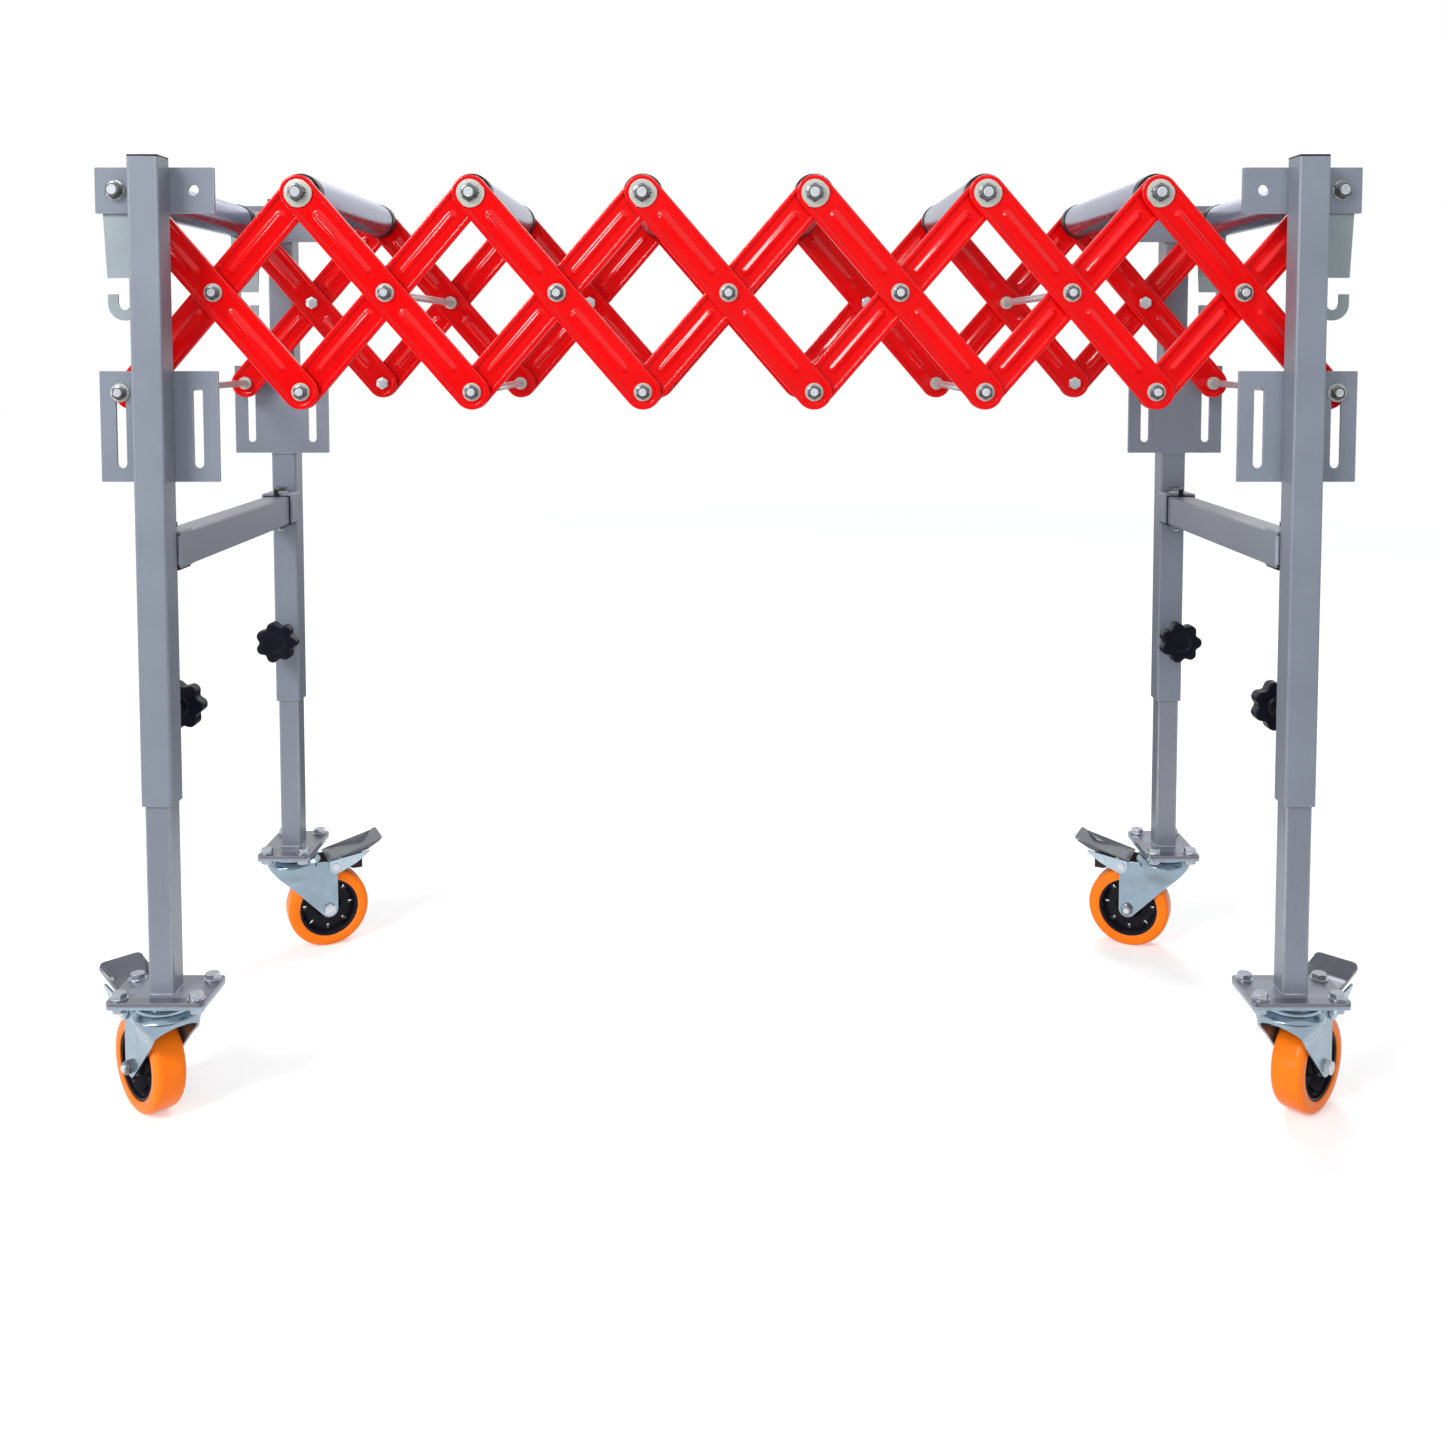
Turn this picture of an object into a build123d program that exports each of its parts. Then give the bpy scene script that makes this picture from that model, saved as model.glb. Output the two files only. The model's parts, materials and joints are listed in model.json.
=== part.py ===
from build123d import *
import math
import os

# Flexible roller conveyor on four swivel casters, drawn at the opened length.
# X runs along the conveyor, Y across it and Z up from the floor. Millimetres.

# Scissor lattice that carries the rollers
bay_count = 7
bay_pitch = 168.86
arm_pivot_length = 258.2
arm_width = 35.0
arm_depth = 5.0
arm_sheet = 2.5
arm_rim_width = 2.5
arm_rim_fillet = 1.0
arm_back_fillet = 0.6
arm_rib_width = 9.0
arm_rib_rise = 2.0
arm_rib_fillet = 1.6
arm_rib_from_crossing = 22.0
arm_rib_from_end = 24.0
arm_groove_width = 4.6
arm_groove_depth = 1.2
layer_gap = 1.0
turning_fit = 0.05
axial_play = 0.1

# Rollers
roller_radius = 19.0
roller_wall = 1.5
roller_end_gap = 1.3
roller_cap_length = 16.0
roller_cap_proud = 0.8
roller_cap_disc = 3.0
roller_cap_fillet = 1.0
roller_hub_radius = 11.0
roller_hub_length = 12.0
roller_cap_fit = 0.05

# Axles, pins, nuts and washers of the lattice
axle_radius = 5.0
axle_nut_flats = 16.0
axle_nut_height = 6.5
axle_washer_radius = 14.5
axle_washer_thickness = 2.0
end_washer_radius = 9.5
spacer_radius = 8.5
pin_radius = 4.0
pin_nut_flats = 13.0
pin_nut_height = 5.0
pin_washer_radius = 9.0
pin_washer_thickness = 1.5
pin_head_height = 4.5
bolt_end_proud = 1.6
nut_edge_chamfer = 0.9
tie_rod_radius = 4.0
tie_rod_collar_radius = 7.5
tie_rod_collar_length = 6.0

# Upper legs with their welded plates
frame_width = 457.0
upper_tube = 30.0
upper_tube_wall = 2.0
upper_tube_corner = 2.5
upper_tube_length = 624.0
shown_lower_leg = 187.0
plate_thickness = 4.0
plate_width = 115.0
plate_corner = 1.0
top_plate_height = 44.0
top_plate_drop = 7.0
top_pivot_drop = 28.7
plate_hole_spacing = 75.0
plate_hole_radius = 5.25
slot_plate_height = 108.0
slot_plate_above_slot = 15.5
slot_width = 10.0
slot_length = 79.2
slot_end_clearance = 1.5
arm_to_plate_gap = 16.0
cap_flange = 2.0
cap_plug_length = 14.0
cap_plug_wall = 2.5
cap_plug_clearance = 0.1
cap_flange_fillet = 0.8

# Crossbar between the legs of one end
crossbar_width = 30.0
crossbar_height = 34.0
crossbar_wall = 2.0
crossbar_corner = 2.0
crossbar_drop = 363.0
sleeve_wall = 1.0
sleeve_fit = 0.05
sleeve_proud = 1.0
sleeve_tab_width = 5.0
sleeve_tab_height = 8.0
sleeve_tab_length = 3.0
bracket_sheet = 2.5
bracket_length = 30.0
bracket_height = 36.0
bracket_fit = 0.15
crossbar_bolt_radius = 4.0
crossbar_bolt_flats = 13.0
crossbar_bolt_head = 5.3
crossbar_washer_radius = 9.0
crossbar_washer_thickness = 1.6
bolt_hole_clearance = 0.2

# Coupling hooks on the end axles
hook_sheet = 3.0
hook_top_reach = 15.0
hook_tip_reach = 11.6
hook_spine_reach = 20.4
hook_top_rise = 15.0
hook_panel_drop = 84.0
hook_throat = 11.4
hook_band = 9.8
hook_drop = 125.3
hook_tip_rise = 25.6

# Height knobs that clamp the lower legs
knob_drop = 541.0
knob_radius = 25.0
knob_lobe_radius = 5.8
knob_lobes = 7
knob_thickness = 16.0
knob_edge_fillet = 2.4
knob_collar_radius = 9.0
knob_collar_length = 17.0
knob_collar_start = 14.0
knob_stud_radius = 4.0
knob_stud_tip_gap = 0.3
knob_boss_flats = 14.0
knob_boss_height = 8.0
knob_thread_clearance = 0.1

# Lower legs and the plates that bolt them to the casters
lower_tube = 25.0
lower_tube_wall = 2.0
lower_tube_corner = 2.0
lower_tube_length = 450.0
base_plate_length = 96.0
base_plate_width = 65.0
base_plate_thickness = 4.0
base_plate_corner = 5.0
base_bolt_length_spacing = 75.0
base_bolt_width_spacing = 45.0
base_bolt_radius = 4.0
base_bolt_flats = 13.0
base_bolt_head = 5.3
base_washer_radius = 8.5
base_washer_thickness = 1.4
base_nut_height = 5.5
base_bolt_tail = 1.0

# Swivel casters, measured from the floor and from the swivel axis
wheel_radius = 50.0
wheel_width = 32.0
wheel_shoulder = 7.0
wheel_core_radius = 37.0
wheel_core_inset = 2.0
wheel_dish_depth = 3.5
wheel_dish_outer = 33.5
wheel_hub_radius = 13.0
wheel_hub_gap = 0.5
wheel_window_count = 6
wheel_window_radius = 2.8
wheel_window_circle = 28.5
caster_trail = 40.0
caster_height = 128.0
caster_plate_thickness = 3.0
race_radius = 26.0
race_height = 8.2
race_edge_fillet = 2.5
kingpin_radius = 6.0
kingpin_fit = 0.1
kingpin_head_radius = 11.0
kingpin_head_height = 3.0
swivel_gap = 0.4
crown_radius = 33.0
crown_flat_radius = 26.0
crown_sheet = 3.0
crown_slope_drop = 6.0
crown_depth = 12.5
fork_sheet = 3.0
fork_side_gap = 2.0
fork_eye_radius = 10.5
fork_front_reach = 25.0
fork_front_drop = 17.0
fork_crown_reach = 16.0
fork_shoulder_drop = 9.0
fork_shoulder_inset = 1.5
fork_rear_neck = 44.0
axle_bolt_radius = 4.0
axle_bolt_flats = 13.0
axle_bolt_head = 5.3
axle_bolt_nut = 6.5
pedal_pivot_reach = 48.0
pedal_pivot_rise = 104.5
pedal_pivot_radius = 3.0
pedal_pivot_head = 1.6
pedal_pivot_head_radius = 5.0
pedal_pivot_fit = 0.08
fork_ear_radius = 6.5
pedal_sheet = 2.5
pedal_side_gap = 0.4
pedal_start = 37.5
pedal_rise_start = 10.4
pedal_bend = 88.0
pedal_rise_bend = 17.4
pedal_tip = 107.0
pedal_rise_tip = 32.5
pedal_tip_corner = 7.0
pedal_web_radius = 8.5
pedal_web_belly = 74.0
pedal_web_belly_rise = 2.5
pedal_rivet_reach = 71.8
pedal_rivet_radius = 2.5
pedal_rivet_rise = 6.0
pad_half_width = 13.0
pad_start = 61.0
pad_end = 83.0
pad_floor = 9.0
pad_wheel_gap = 5.0

# Which way each caster trails from its leg, in degrees from outward or inward X
front_trail_angle = 44.0
rear_trail_angle = 25.0

# Places that follow from the sizes above
length_between_ends = bay_count * bay_pitch
first_pivot_x = -length_between_ends / 2
lattice_height = math.sqrt(arm_pivot_length**2 - bay_pitch**2)
lattice_angle = math.degrees(math.atan2(lattice_height, bay_pitch))
base_plate_z = caster_height + caster_plate_thickness
lower_tube_z = base_plate_z + base_plate_thickness
upper_tube_z = lower_tube_z + shown_lower_leg
upper_tube_top = upper_tube_z + upper_tube_length
top_pivot_z = upper_tube_top - top_pivot_drop
crossing_z = top_pivot_z - lattice_height / 2
bottom_pivot_z = top_pivot_z - lattice_height
leg_x = length_between_ends / 2 - plate_hole_spacing / 2
leg_y = frame_width / 2 - upper_tube / 2
leg_inner_y = frame_width / 2 - upper_tube
plate_inner_y = leg_inner_y - plate_thickness
arm_outer_y = plate_inner_y - arm_to_plate_gap
arm_inner_y = arm_outer_y - 2 * arm_depth - layer_gap
side_shift = arm_outer_y + arm_inner_y
roller_end_y = arm_inner_y - roller_end_gap
crossbar_z = upper_tube_top - crossbar_drop - crossbar_height / 2
crossbar_bolt_y = leg_inner_y - bracket_length / 2
knob_z = upper_tube_top - knob_drop

# Along Y, the near sheet faces of the arms: the falling arms lie in front of the rising arms
falling_back_y = -arm_outer_y + arm_depth
falling_sheet_y = falling_back_y - arm_sheet
rising_back_y = falling_back_y + layer_gap + arm_depth
rising_sheet_y = rising_back_y - arm_sheet


def block(x_low, x_high, y_low, y_high, z_low, z_high):
    """A box between two corners."""
    size = Box(x_high - x_low, y_high - y_low, z_high - z_low)
    middle = ((x_low + x_high) / 2, (y_low + y_high) / 2, (z_low + z_high) / 2)
    return Pos(*middle) * size


def across(x, z, y_low, y_high, radius):
    """A round bar that runs across the conveyor, along Y."""
    bar = Cylinder(radius, y_high - y_low, rotation=(90, 0, 0))
    return Pos(x, (y_low + y_high) / 2, z) * bar


def upright(x, y, z_low, z_high, radius):
    """A round bar that stands along Z."""
    return Pos(x, y, (z_low + z_high) / 2) * Cylinder(radius, z_high - z_low)


def hexagon_bar(flats, height):
    """A hexagon nut or bolt head on the XY plane, its corners turned off on top."""
    corner_radius = flats / math.sqrt(3)
    bar = extrude(RegularPolygon(corner_radius, 6), height)
    turned = Cylinder(corner_radius, height, align=(Align.CENTER, Align.CENTER, Align.MIN))
    return bar & chamfer(turned.edges().sort_by(Axis.Z)[-1], nut_edge_chamfer)


def hexagon_across(x, z, y_face, direction, flats, height):
    """A hexagon that stands off a face along Y, towards +1 or -1."""
    seat = Plane(origin=(x, y_face, z), x_dir=(1, 0, 0), z_dir=(0, direction, 0))
    return seat * hexagon_bar(flats, height)


def hexagon_upright(x, y, z_face, direction, flats, height):
    """A hexagon that stands off a level face, upwards or downwards."""
    seat = Plane(origin=(x, y, z_face), x_dir=(1, 0, 0), z_dir=(0, 0, direction))
    return seat * hexagon_bar(flats, height)


def square_tube(width, depth, wall, corner, z_low, z_high):
    """A standing tube with rounded corners, centred on Z."""
    outside = RectangleRounded(width, depth, corner)
    inside = Rectangle(width - 2 * wall, depth - 2 * wall)
    return Pos(0, 0, z_low) * extrude(outside - inside, z_high - z_low)


def pivot_x(index):
    """X of a top or bottom pivot, counted from the left end."""
    return first_pivot_x + index * bay_pitch


def crossing_x(index):
    """X of the middle pivot of a bay."""
    return first_pivot_x + (index + 0.5) * bay_pitch


def pressed_arm(axle_end):
    """One pressed arm along X, its sheet's back on the XZ plane, the axle hole at axle_end."""
    outline = Plane.XZ * SlotCenterToCenter(arm_pivot_length, arm_width)
    hollow = Plane.XZ * SlotCenterToCenter(arm_pivot_length, arm_width - 2 * arm_rim_width)
    tray = extrude(outline, arm_depth)
    tray -= Pos(0, -arm_sheet, 0) * extrude(hollow, arm_depth)
    rim_edges = tray.faces().sort_by(Axis.Y)[0].edges()
    tray = fillet(rim_edges, arm_rim_fillet)
    back_edges = tray.faces().sort_by(Axis.Y)[-1].edges()
    tray = fillet(back_edges, arm_back_fillet)
    rib_length = arm_pivot_length / 2 - arm_rib_from_crossing - arm_rib_from_end
    rib_middle = arm_rib_from_crossing + rib_length / 2
    rib_outline = SlotOverall(rib_length, arm_rib_width)
    groove_outline = SlotOverall(rib_length - arm_groove_width, arm_groove_width)
    rib = extrude(Plane.XZ * rib_outline, arm_sheet + arm_rib_rise)
    rib = fillet(rib.faces().sort_by(Axis.Y)[0].edges(), arm_rib_fillet)
    groove = extrude(Plane.XZ * groove_outline, arm_groove_depth)
    for side in (-1, 1):
        tray += Pos(side * rib_middle, 0, 0) * rib
        tray -= Pos(side * rib_middle, 0, 0) * groove
    end_x = arm_pivot_length / 2
    tray -= across(axle_end * end_x, 0, -arm_depth, arm_depth, axle_radius + turning_fit)
    for x in (0, -axle_end * end_x):
        tray -= across(x, 0, -arm_depth, arm_depth, pin_radius + turning_fit)
    return tray


falling_arm = Rot(0, lattice_angle, 0) * pressed_arm(-1)
rising_arm = Rot(0, -lattice_angle, 0) * pressed_arm(1)


def arm_pair(bay, arm, back_y):
    """The near and the far arm of one bay that lean the same way."""
    near = Pos(crossing_x(bay), back_y, crossing_z) * arm
    far = Pos(crossing_x(bay), back_y + side_shift, crossing_z) * arm
    return [near, far]


def flange_nut(x, z, y_face, direction, size):
    """A nut with its washer, clamped against a face that points along Y."""
    flats, height, washer_radius, washer_thickness, hole_radius = size
    washer_end = y_face + direction * washer_thickness
    washer = across(x, z, min(y_face, washer_end), max(y_face, washer_end), washer_radius)
    nut = washer + hexagon_across(x, z, washer_end, direction, flats, height)
    nut_end = washer_end + direction * height
    return nut - across(x, z, min(y_face, nut_end), max(y_face, nut_end), hole_radius)


def rod_with_ends(x, z, y_low, y_high, radius):
    """A plain rod across the conveyor with both ends broken by a small chamfer."""
    rod = across(x, z, y_low, y_high, radius)
    return chamfer(rod.edges().filter_by(GeomType.CIRCLE), nut_edge_chamfer)


axle_nut_size = (
    axle_nut_flats, axle_nut_height, axle_washer_radius, axle_washer_thickness, axle_radius
)
end_nut_size = (
    axle_nut_flats, axle_nut_height, end_washer_radius, axle_washer_thickness, axle_radius
)
pin_nut_size = (pin_nut_flats, pin_nut_height, pin_washer_radius, pin_washer_thickness, pin_radius)


def rod_across(x, z, y_low, y_high, radius, collar_spans, collar_radius):
    """A rod with its spacer collars as shoulders."""
    rod = rod_with_ends(x, z, y_low, y_high, radius)
    for y_start, y_end in collar_spans:
        rod += across(x, z, y_start + axial_play, y_end - axial_play, collar_radius)
    return rod


near_gap = (falling_back_y, rising_sheet_y)
far_gap = (falling_back_y + side_shift, rising_sheet_y + side_shift)
near_face_y = falling_sheet_y - axial_play
far_face_y = rising_back_y + side_shift + axial_play


def roller_axle(index):
    """The axle of a roller between the ends, with its nuts outside the arms."""
    x = pivot_x(index)
    reach = axle_washer_thickness + axle_nut_height + bolt_end_proud
    spans = [
        near_gap,
        far_gap,
        (rising_back_y, -roller_end_y),
        (roller_end_y, falling_sheet_y + side_shift),
    ]
    y_low = near_face_y - reach
    y_high = far_face_y + reach
    rod = rod_across(x, top_pivot_z, y_low, y_high, axle_radius, spans, spacer_radius)
    near_nut = flange_nut(x, top_pivot_z, near_face_y, -1, axle_nut_size)
    far_nut = flange_nut(x, top_pivot_z, far_face_y, 1, axle_nut_size)
    return [rod, near_nut, far_nut]


def tie_rod(x, z):
    """A rod through both sides of the lattice, with collars inside and nuts outside."""
    reach = pin_washer_thickness + pin_nut_height + bolt_end_proud
    near_collar = (rising_back_y, rising_back_y + tie_rod_collar_length)
    far_inner_y = falling_sheet_y + side_shift
    far_collar = (far_inner_y - tie_rod_collar_length, far_inner_y)
    spans = [near_gap, far_gap, near_collar, far_collar]
    y_low = near_face_y - reach
    y_high = far_face_y + reach
    rod = rod_across(x, z, y_low, y_high, tie_rod_radius, spans, tie_rod_collar_radius)
    near_nut = flange_nut(x, z, near_face_y, -1, pin_nut_size)
    far_nut = flange_nut(x, z, far_face_y, 1, pin_nut_size)
    return [rod, near_nut, far_nut]


def short_pins(x, z):
    """Two short bolts, one through each side of the lattice, heads inside and nuts outside."""
    pieces = []
    reach = pin_washer_thickness + pin_nut_height + bolt_end_proud
    near_head_y = rising_back_y + axial_play
    near = rod_with_ends(x, z, near_face_y - reach, near_head_y, pin_radius)
    near += across(x, z, near_gap[0] + axial_play, near_gap[1] - axial_play, spacer_radius)
    near += hexagon_across(x, z, near_head_y, 1, pin_nut_flats, pin_head_height)
    pieces.append(near)
    pieces.append(flange_nut(x, z, near_face_y, -1, pin_nut_size))
    far_head_y = falling_sheet_y + side_shift - axial_play
    far = rod_with_ends(x, z, far_head_y, far_face_y + reach, pin_radius)
    far += across(x, z, far_gap[0] + axial_play, far_gap[1] - axial_play, spacer_radius)
    far += hexagon_across(x, z, far_head_y, -1, pin_nut_flats, pin_head_height)
    pieces.append(far)
    pieces.append(flange_nut(x, z, far_face_y, 1, pin_nut_size))
    return pieces


def slot_pin(end_index):
    """The tie rod of an end: it joins the lowest arms and slides in the slots of the legs."""
    x = pivot_x(end_index)
    plate_outer_y = leg_inner_y
    reach = pin_washer_thickness + pin_nut_height + bolt_end_proud
    y_limit = plate_outer_y + axial_play + reach
    if end_index == 0:
        sheets = (rising_sheet_y, rising_back_y)
    else:
        sheets = (falling_sheet_y, falling_back_y)
    near_low, near_high = sheets
    far_low = near_low + side_shift
    far_high = near_high + side_shift
    spans = [
        (-plate_inner_y, near_low),
        (near_high, near_high + tie_rod_collar_length),
        (far_low - tie_rod_collar_length, far_low),
        (far_high, plate_inner_y),
    ]
    rod = rod_across(x, bottom_pivot_z, -y_limit, y_limit, tie_rod_radius, spans, tie_rod_collar_radius)
    face_y = plate_outer_y + axial_play
    near_nut = flange_nut(x, bottom_pivot_z, -face_y, -1, pin_nut_size)
    far_nut = flange_nut(x, bottom_pivot_z, face_y, 1, pin_nut_size)
    return [rod, near_nut, far_nut]


tie_rod_crossings = (1, bay_count // 2, bay_count - 2)
tie_rod_bottoms = (2, bay_count - 2)


def pivot_pins(bay):
    """The pins that ride with the falling arms of a bay."""
    pieces = []
    if bay in tie_rod_crossings:
        pieces += tie_rod(crossing_x(bay), crossing_z)
    else:
        pieces += short_pins(crossing_x(bay), crossing_z)
    if bay > 0:
        pieces += roller_axle(bay)
    lower = bay + 1
    if lower == bay_count:
        pieces += slot_pin(lower)
    elif lower in tie_rod_bottoms:
        pieces += tie_rod(pivot_x(lower), bottom_pivot_z)
    else:
        pieces += short_pins(pivot_x(lower), bottom_pivot_z)
    return pieces


def roller(index):
    """A roller: a steel tube with a moulded cap and its bearing hub at each end."""
    x = pivot_x(index)
    z = top_pivot_z
    tube_end = roller_end_y - roller_cap_disc
    tube = across(x, z, -tube_end, tube_end, roller_radius)
    tube -= across(x, z, -tube_end, tube_end, roller_radius - roller_wall)
    pieces = [tube]
    for side in (-1, 1):
        skirt_start = side * (roller_end_y - roller_cap_length)
        outer_end = side * roller_end_y
        disc_start = side * (tube_end + roller_cap_fit)
        hub_start = side * (roller_end_y - roller_hub_length)
        skirt_radius = roller_radius + roller_cap_proud
        cap = across(x, z, min(skirt_start, outer_end), max(skirt_start, outer_end), skirt_radius)
        outer_face = cap.faces().sort_by(Axis.Y)[-1 if side > 0 else 0]
        cap = fillet(outer_face.edges(), roller_cap_fillet)
        inside = (min(skirt_start, disc_start), max(skirt_start, disc_start))
        cap -= across(x, z, *inside, roller_radius + roller_cap_fit)
        cap += across(x, z, min(hub_start, disc_start), max(hub_start, disc_start), roller_hub_radius)
        bore = (min(hub_start, outer_end), max(hub_start, outer_end))
        cap -= across(x, z, *bore, axle_radius + turning_fit)
        pieces.append(cap)
    return pieces


def leg_weldment(end, side):
    """One upper leg and what is welded to it: two plates, the crossbar bracket and the knob's boss."""
    tube = square_tube(
        upper_tube, upper_tube, upper_tube_wall, upper_tube_corner, upper_tube_z, upper_tube_top
    )
    leg = Pos(end * leg_x, side * leg_y, 0) * tube
    y_low = min(side * leg_inner_y, side * plate_inner_y)
    y_high = max(side * leg_inner_y, side * plate_inner_y)
    x_low = end * leg_x - plate_width / 2
    x_high = end * leg_x + plate_width / 2
    plate_top = upper_tube_top - top_plate_drop
    slot_top = bottom_pivot_z + tie_rod_radius + slot_end_clearance
    lower_top = slot_top + slot_plate_above_slot
    plates = []
    for top, height in ((plate_top, top_plate_height), (lower_top, slot_plate_height)):
        plate = block(x_low, x_high, y_low, y_high, top - height, top)
        plates.append(fillet(plate.edges().filter_by(Axis.Y), plate_corner))
    top_plate, slot_plate = plates
    slot_middle = slot_top - slot_length / 2
    for way in (-1, 1):
        hole_x = end * leg_x + way * plate_hole_spacing / 2
        top_plate -= across(hole_x, top_pivot_z, y_low, y_high, plate_hole_radius)
        slot = Plane.XZ * (Rot(0, 0, 90) * SlotOverall(slot_length, slot_width))
        slot_plate -= Pos(hole_x, y_high, slot_middle) * extrude(slot, plate_thickness)
    boss_seat = Plane(
        origin=(end * leg_x, side * leg_inner_y, knob_z), x_dir=(1, 0, 0), z_dir=(0, -side, 0)
    )
    boss = boss_seat * hexagon_bar(knob_boss_flats, knob_boss_height)
    bore_length = knob_boss_height + upper_tube_wall
    thread_radius = knob_stud_radius + knob_thread_clearance
    bore = Cylinder(thread_radius, bore_length, align=(Align.CENTER, Align.CENTER, Align.MAX))
    bore = boss_seat * Pos(0, 0, knob_boss_height) * bore
    return [leg - bore, top_plate, slot_plate, crossbar_bracket(end, side), boss - bore]


sleeve_half_width = crossbar_width / 2 + sleeve_wall
sleeve_top = crossbar_z + crossbar_height / 2 + sleeve_wall


def crossbar_bracket(end, side):
    """A folded sheet saddle, welded to the leg, that the end of the crossbar sits in."""
    inner_half = sleeve_half_width + bracket_fit
    outer_half = inner_half + bracket_sheet
    roof = sleeve_top + bracket_fit
    top = roof + bracket_sheet
    mouth_y = leg_inner_y - bracket_length
    y_low = min(side * mouth_y, side * leg_inner_y)
    y_high = max(side * mouth_y, side * leg_inner_y)
    x = end * leg_x
    saddle = block(x - outer_half, x + outer_half, y_low, y_high, top - bracket_height, top)
    rounded = saddle.edges().filter_by(Axis.Y).group_by(Axis.Z)[-1]
    saddle = fillet(rounded, bracket_sheet)
    saddle -= block(x - inner_half, x + inner_half, y_low, y_high, top - bracket_height, roof)
    hole_radius = crossbar_bolt_radius + bolt_hole_clearance
    return saddle - upright(x, side * crossbar_bolt_y, roof, top, hole_radius)


def crossbar(end):
    """The square tube between the two legs of an end."""
    tube_end = leg_inner_y - sleeve_wall - sleeve_fit
    outline = RectangleRounded(crossbar_width, crossbar_height, crossbar_corner)
    inside = Rectangle(crossbar_width - 2 * crossbar_wall, crossbar_height - 2 * crossbar_wall)
    bar = extrude(Plane.XZ * (outline - inside), tube_end, both=True)
    bar = Pos(end * leg_x, 0, crossbar_z) * bar
    for side in (-1, 1):
        low = crossbar_z - crossbar_height / 2
        high = crossbar_z + crossbar_height / 2
        hole_radius = crossbar_bolt_radius + bolt_hole_clearance
        bar -= upright(end * leg_x, side * crossbar_bolt_y, low, high, hole_radius)
    return [bar]


def crossbar_sleeve(end, side):
    """The plastic sleeve over a crossbar end, with the small tab that stands up beside the bolt."""
    x = end * leg_x
    mouth_y = leg_inner_y - bracket_length - sleeve_proud
    y_low = min(side * mouth_y, side * leg_inner_y)
    y_high = max(side * mouth_y, side * leg_inner_y)
    low = crossbar_z - crossbar_height / 2 - sleeve_wall
    sleeve = block(x - sleeve_half_width, x + sleeve_half_width, y_low, y_high, low, sleeve_top)
    tab_end = mouth_y - sleeve_tab_length
    tab_low = min(side * mouth_y, side * tab_end)
    tab_high = max(side * mouth_y, side * tab_end)
    tab_x = x - sleeve_tab_width / 2
    tab_top = sleeve_top + sleeve_tab_height
    sleeve += block(tab_x, tab_x + sleeve_tab_width, tab_low, tab_high, low, tab_top)
    inner_half = crossbar_width / 2 + sleeve_fit
    inner_rise = crossbar_height / 2 + sleeve_fit
    inner_end = leg_inner_y - sleeve_wall
    bar_low = min(0, side * inner_end)
    bar_high = max(0, side * inner_end)
    bar = block(x - inner_half, x + inner_half, bar_low, bar_high, -inner_rise, inner_rise)
    sleeve -= Pos(0, 0, crossbar_z) * bar
    hole_radius = crossbar_bolt_radius + bolt_hole_clearance
    return sleeve - upright(x, side * crossbar_bolt_y, low, sleeve_top, hole_radius)


def leg_cap(end, side):
    """The moulded cap on top of an upper leg: a flange and a hollow plug."""
    flange_top = upper_tube_top + cap_flange
    flange = RectangleRounded(upper_tube, upper_tube, upper_tube_corner)
    cap = Pos(0, 0, upper_tube_top) * extrude(flange, cap_flange)
    cap = fillet(cap.faces().sort_by(Axis.Z)[-1].edges(), cap_flange_fillet)
    plug_side = upper_tube - 2 * upper_tube_wall - 2 * cap_plug_clearance
    hollow_side = plug_side - 2 * cap_plug_wall
    plug = Rectangle(plug_side, plug_side) - Rectangle(hollow_side, hollow_side)
    cap += Pos(0, 0, upper_tube_top - cap_plug_length) * extrude(plug, cap_plug_length)
    return Pos(end * leg_x, side * leg_y, 0) * cap


def crossbar_bolt(end, side):
    """A bolt down through the bracket and the crossbar, with washers, and its nut below."""
    x = end * leg_x
    y = side * crossbar_bolt_y
    top = sleeve_top + bracket_fit + bracket_sheet
    bottom = crossbar_z - crossbar_height / 2 - sleeve_wall
    head_z = top + crossbar_washer_thickness
    nut_z = bottom - crossbar_washer_thickness
    bolt = upright(x, y, nut_z - crossbar_bolt_head - bolt_end_proud, head_z, crossbar_bolt_radius)
    bolt += upright(x, y, top, head_z, crossbar_washer_radius)
    bolt += hexagon_upright(x, y, head_z, 1, crossbar_bolt_flats, crossbar_bolt_head)
    nut = upright(x, y, nut_z, bottom, crossbar_washer_radius)
    nut += hexagon_upright(x, y, nut_z, -1, crossbar_bolt_flats, crossbar_bolt_head)
    nut -= upright(x, y, nut_z - crossbar_bolt_head, bottom, crossbar_bolt_radius)
    return [bolt, nut]


def end_axle(end):
    """The axle of an end roller, bolted through the top plates, the hooks and the end arms."""
    x = end * length_between_ends / 2
    face_y = leg_inner_y
    reach = axle_washer_thickness + axle_nut_height + bolt_end_proud
    if end < 0:
        near_low, near_high = falling_sheet_y, falling_back_y
    else:
        near_low, near_high = rising_sheet_y, rising_back_y
    spans = [
        (-plate_inner_y + hook_sheet, near_low),
        (near_high, -roller_end_y),
        (roller_end_y, near_low + side_shift),
        (near_high + side_shift, plate_inner_y - hook_sheet),
    ]
    y_limit = face_y + reach
    rod = rod_across(x, top_pivot_z, -y_limit, y_limit, axle_radius, spans, spacer_radius)
    pieces = [rod]
    for side in (-1, 1):
        pieces.append(flange_nut(x, top_pivot_z, side * face_y, side, end_nut_size))
    return pieces


def frame_bolts(end):
    """Everything that is screwed together on one end frame."""
    pieces = end_axle(end)
    for side in (-1, 1):
        pieces += crossbar_bolt(end, side)
    return pieces


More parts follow.
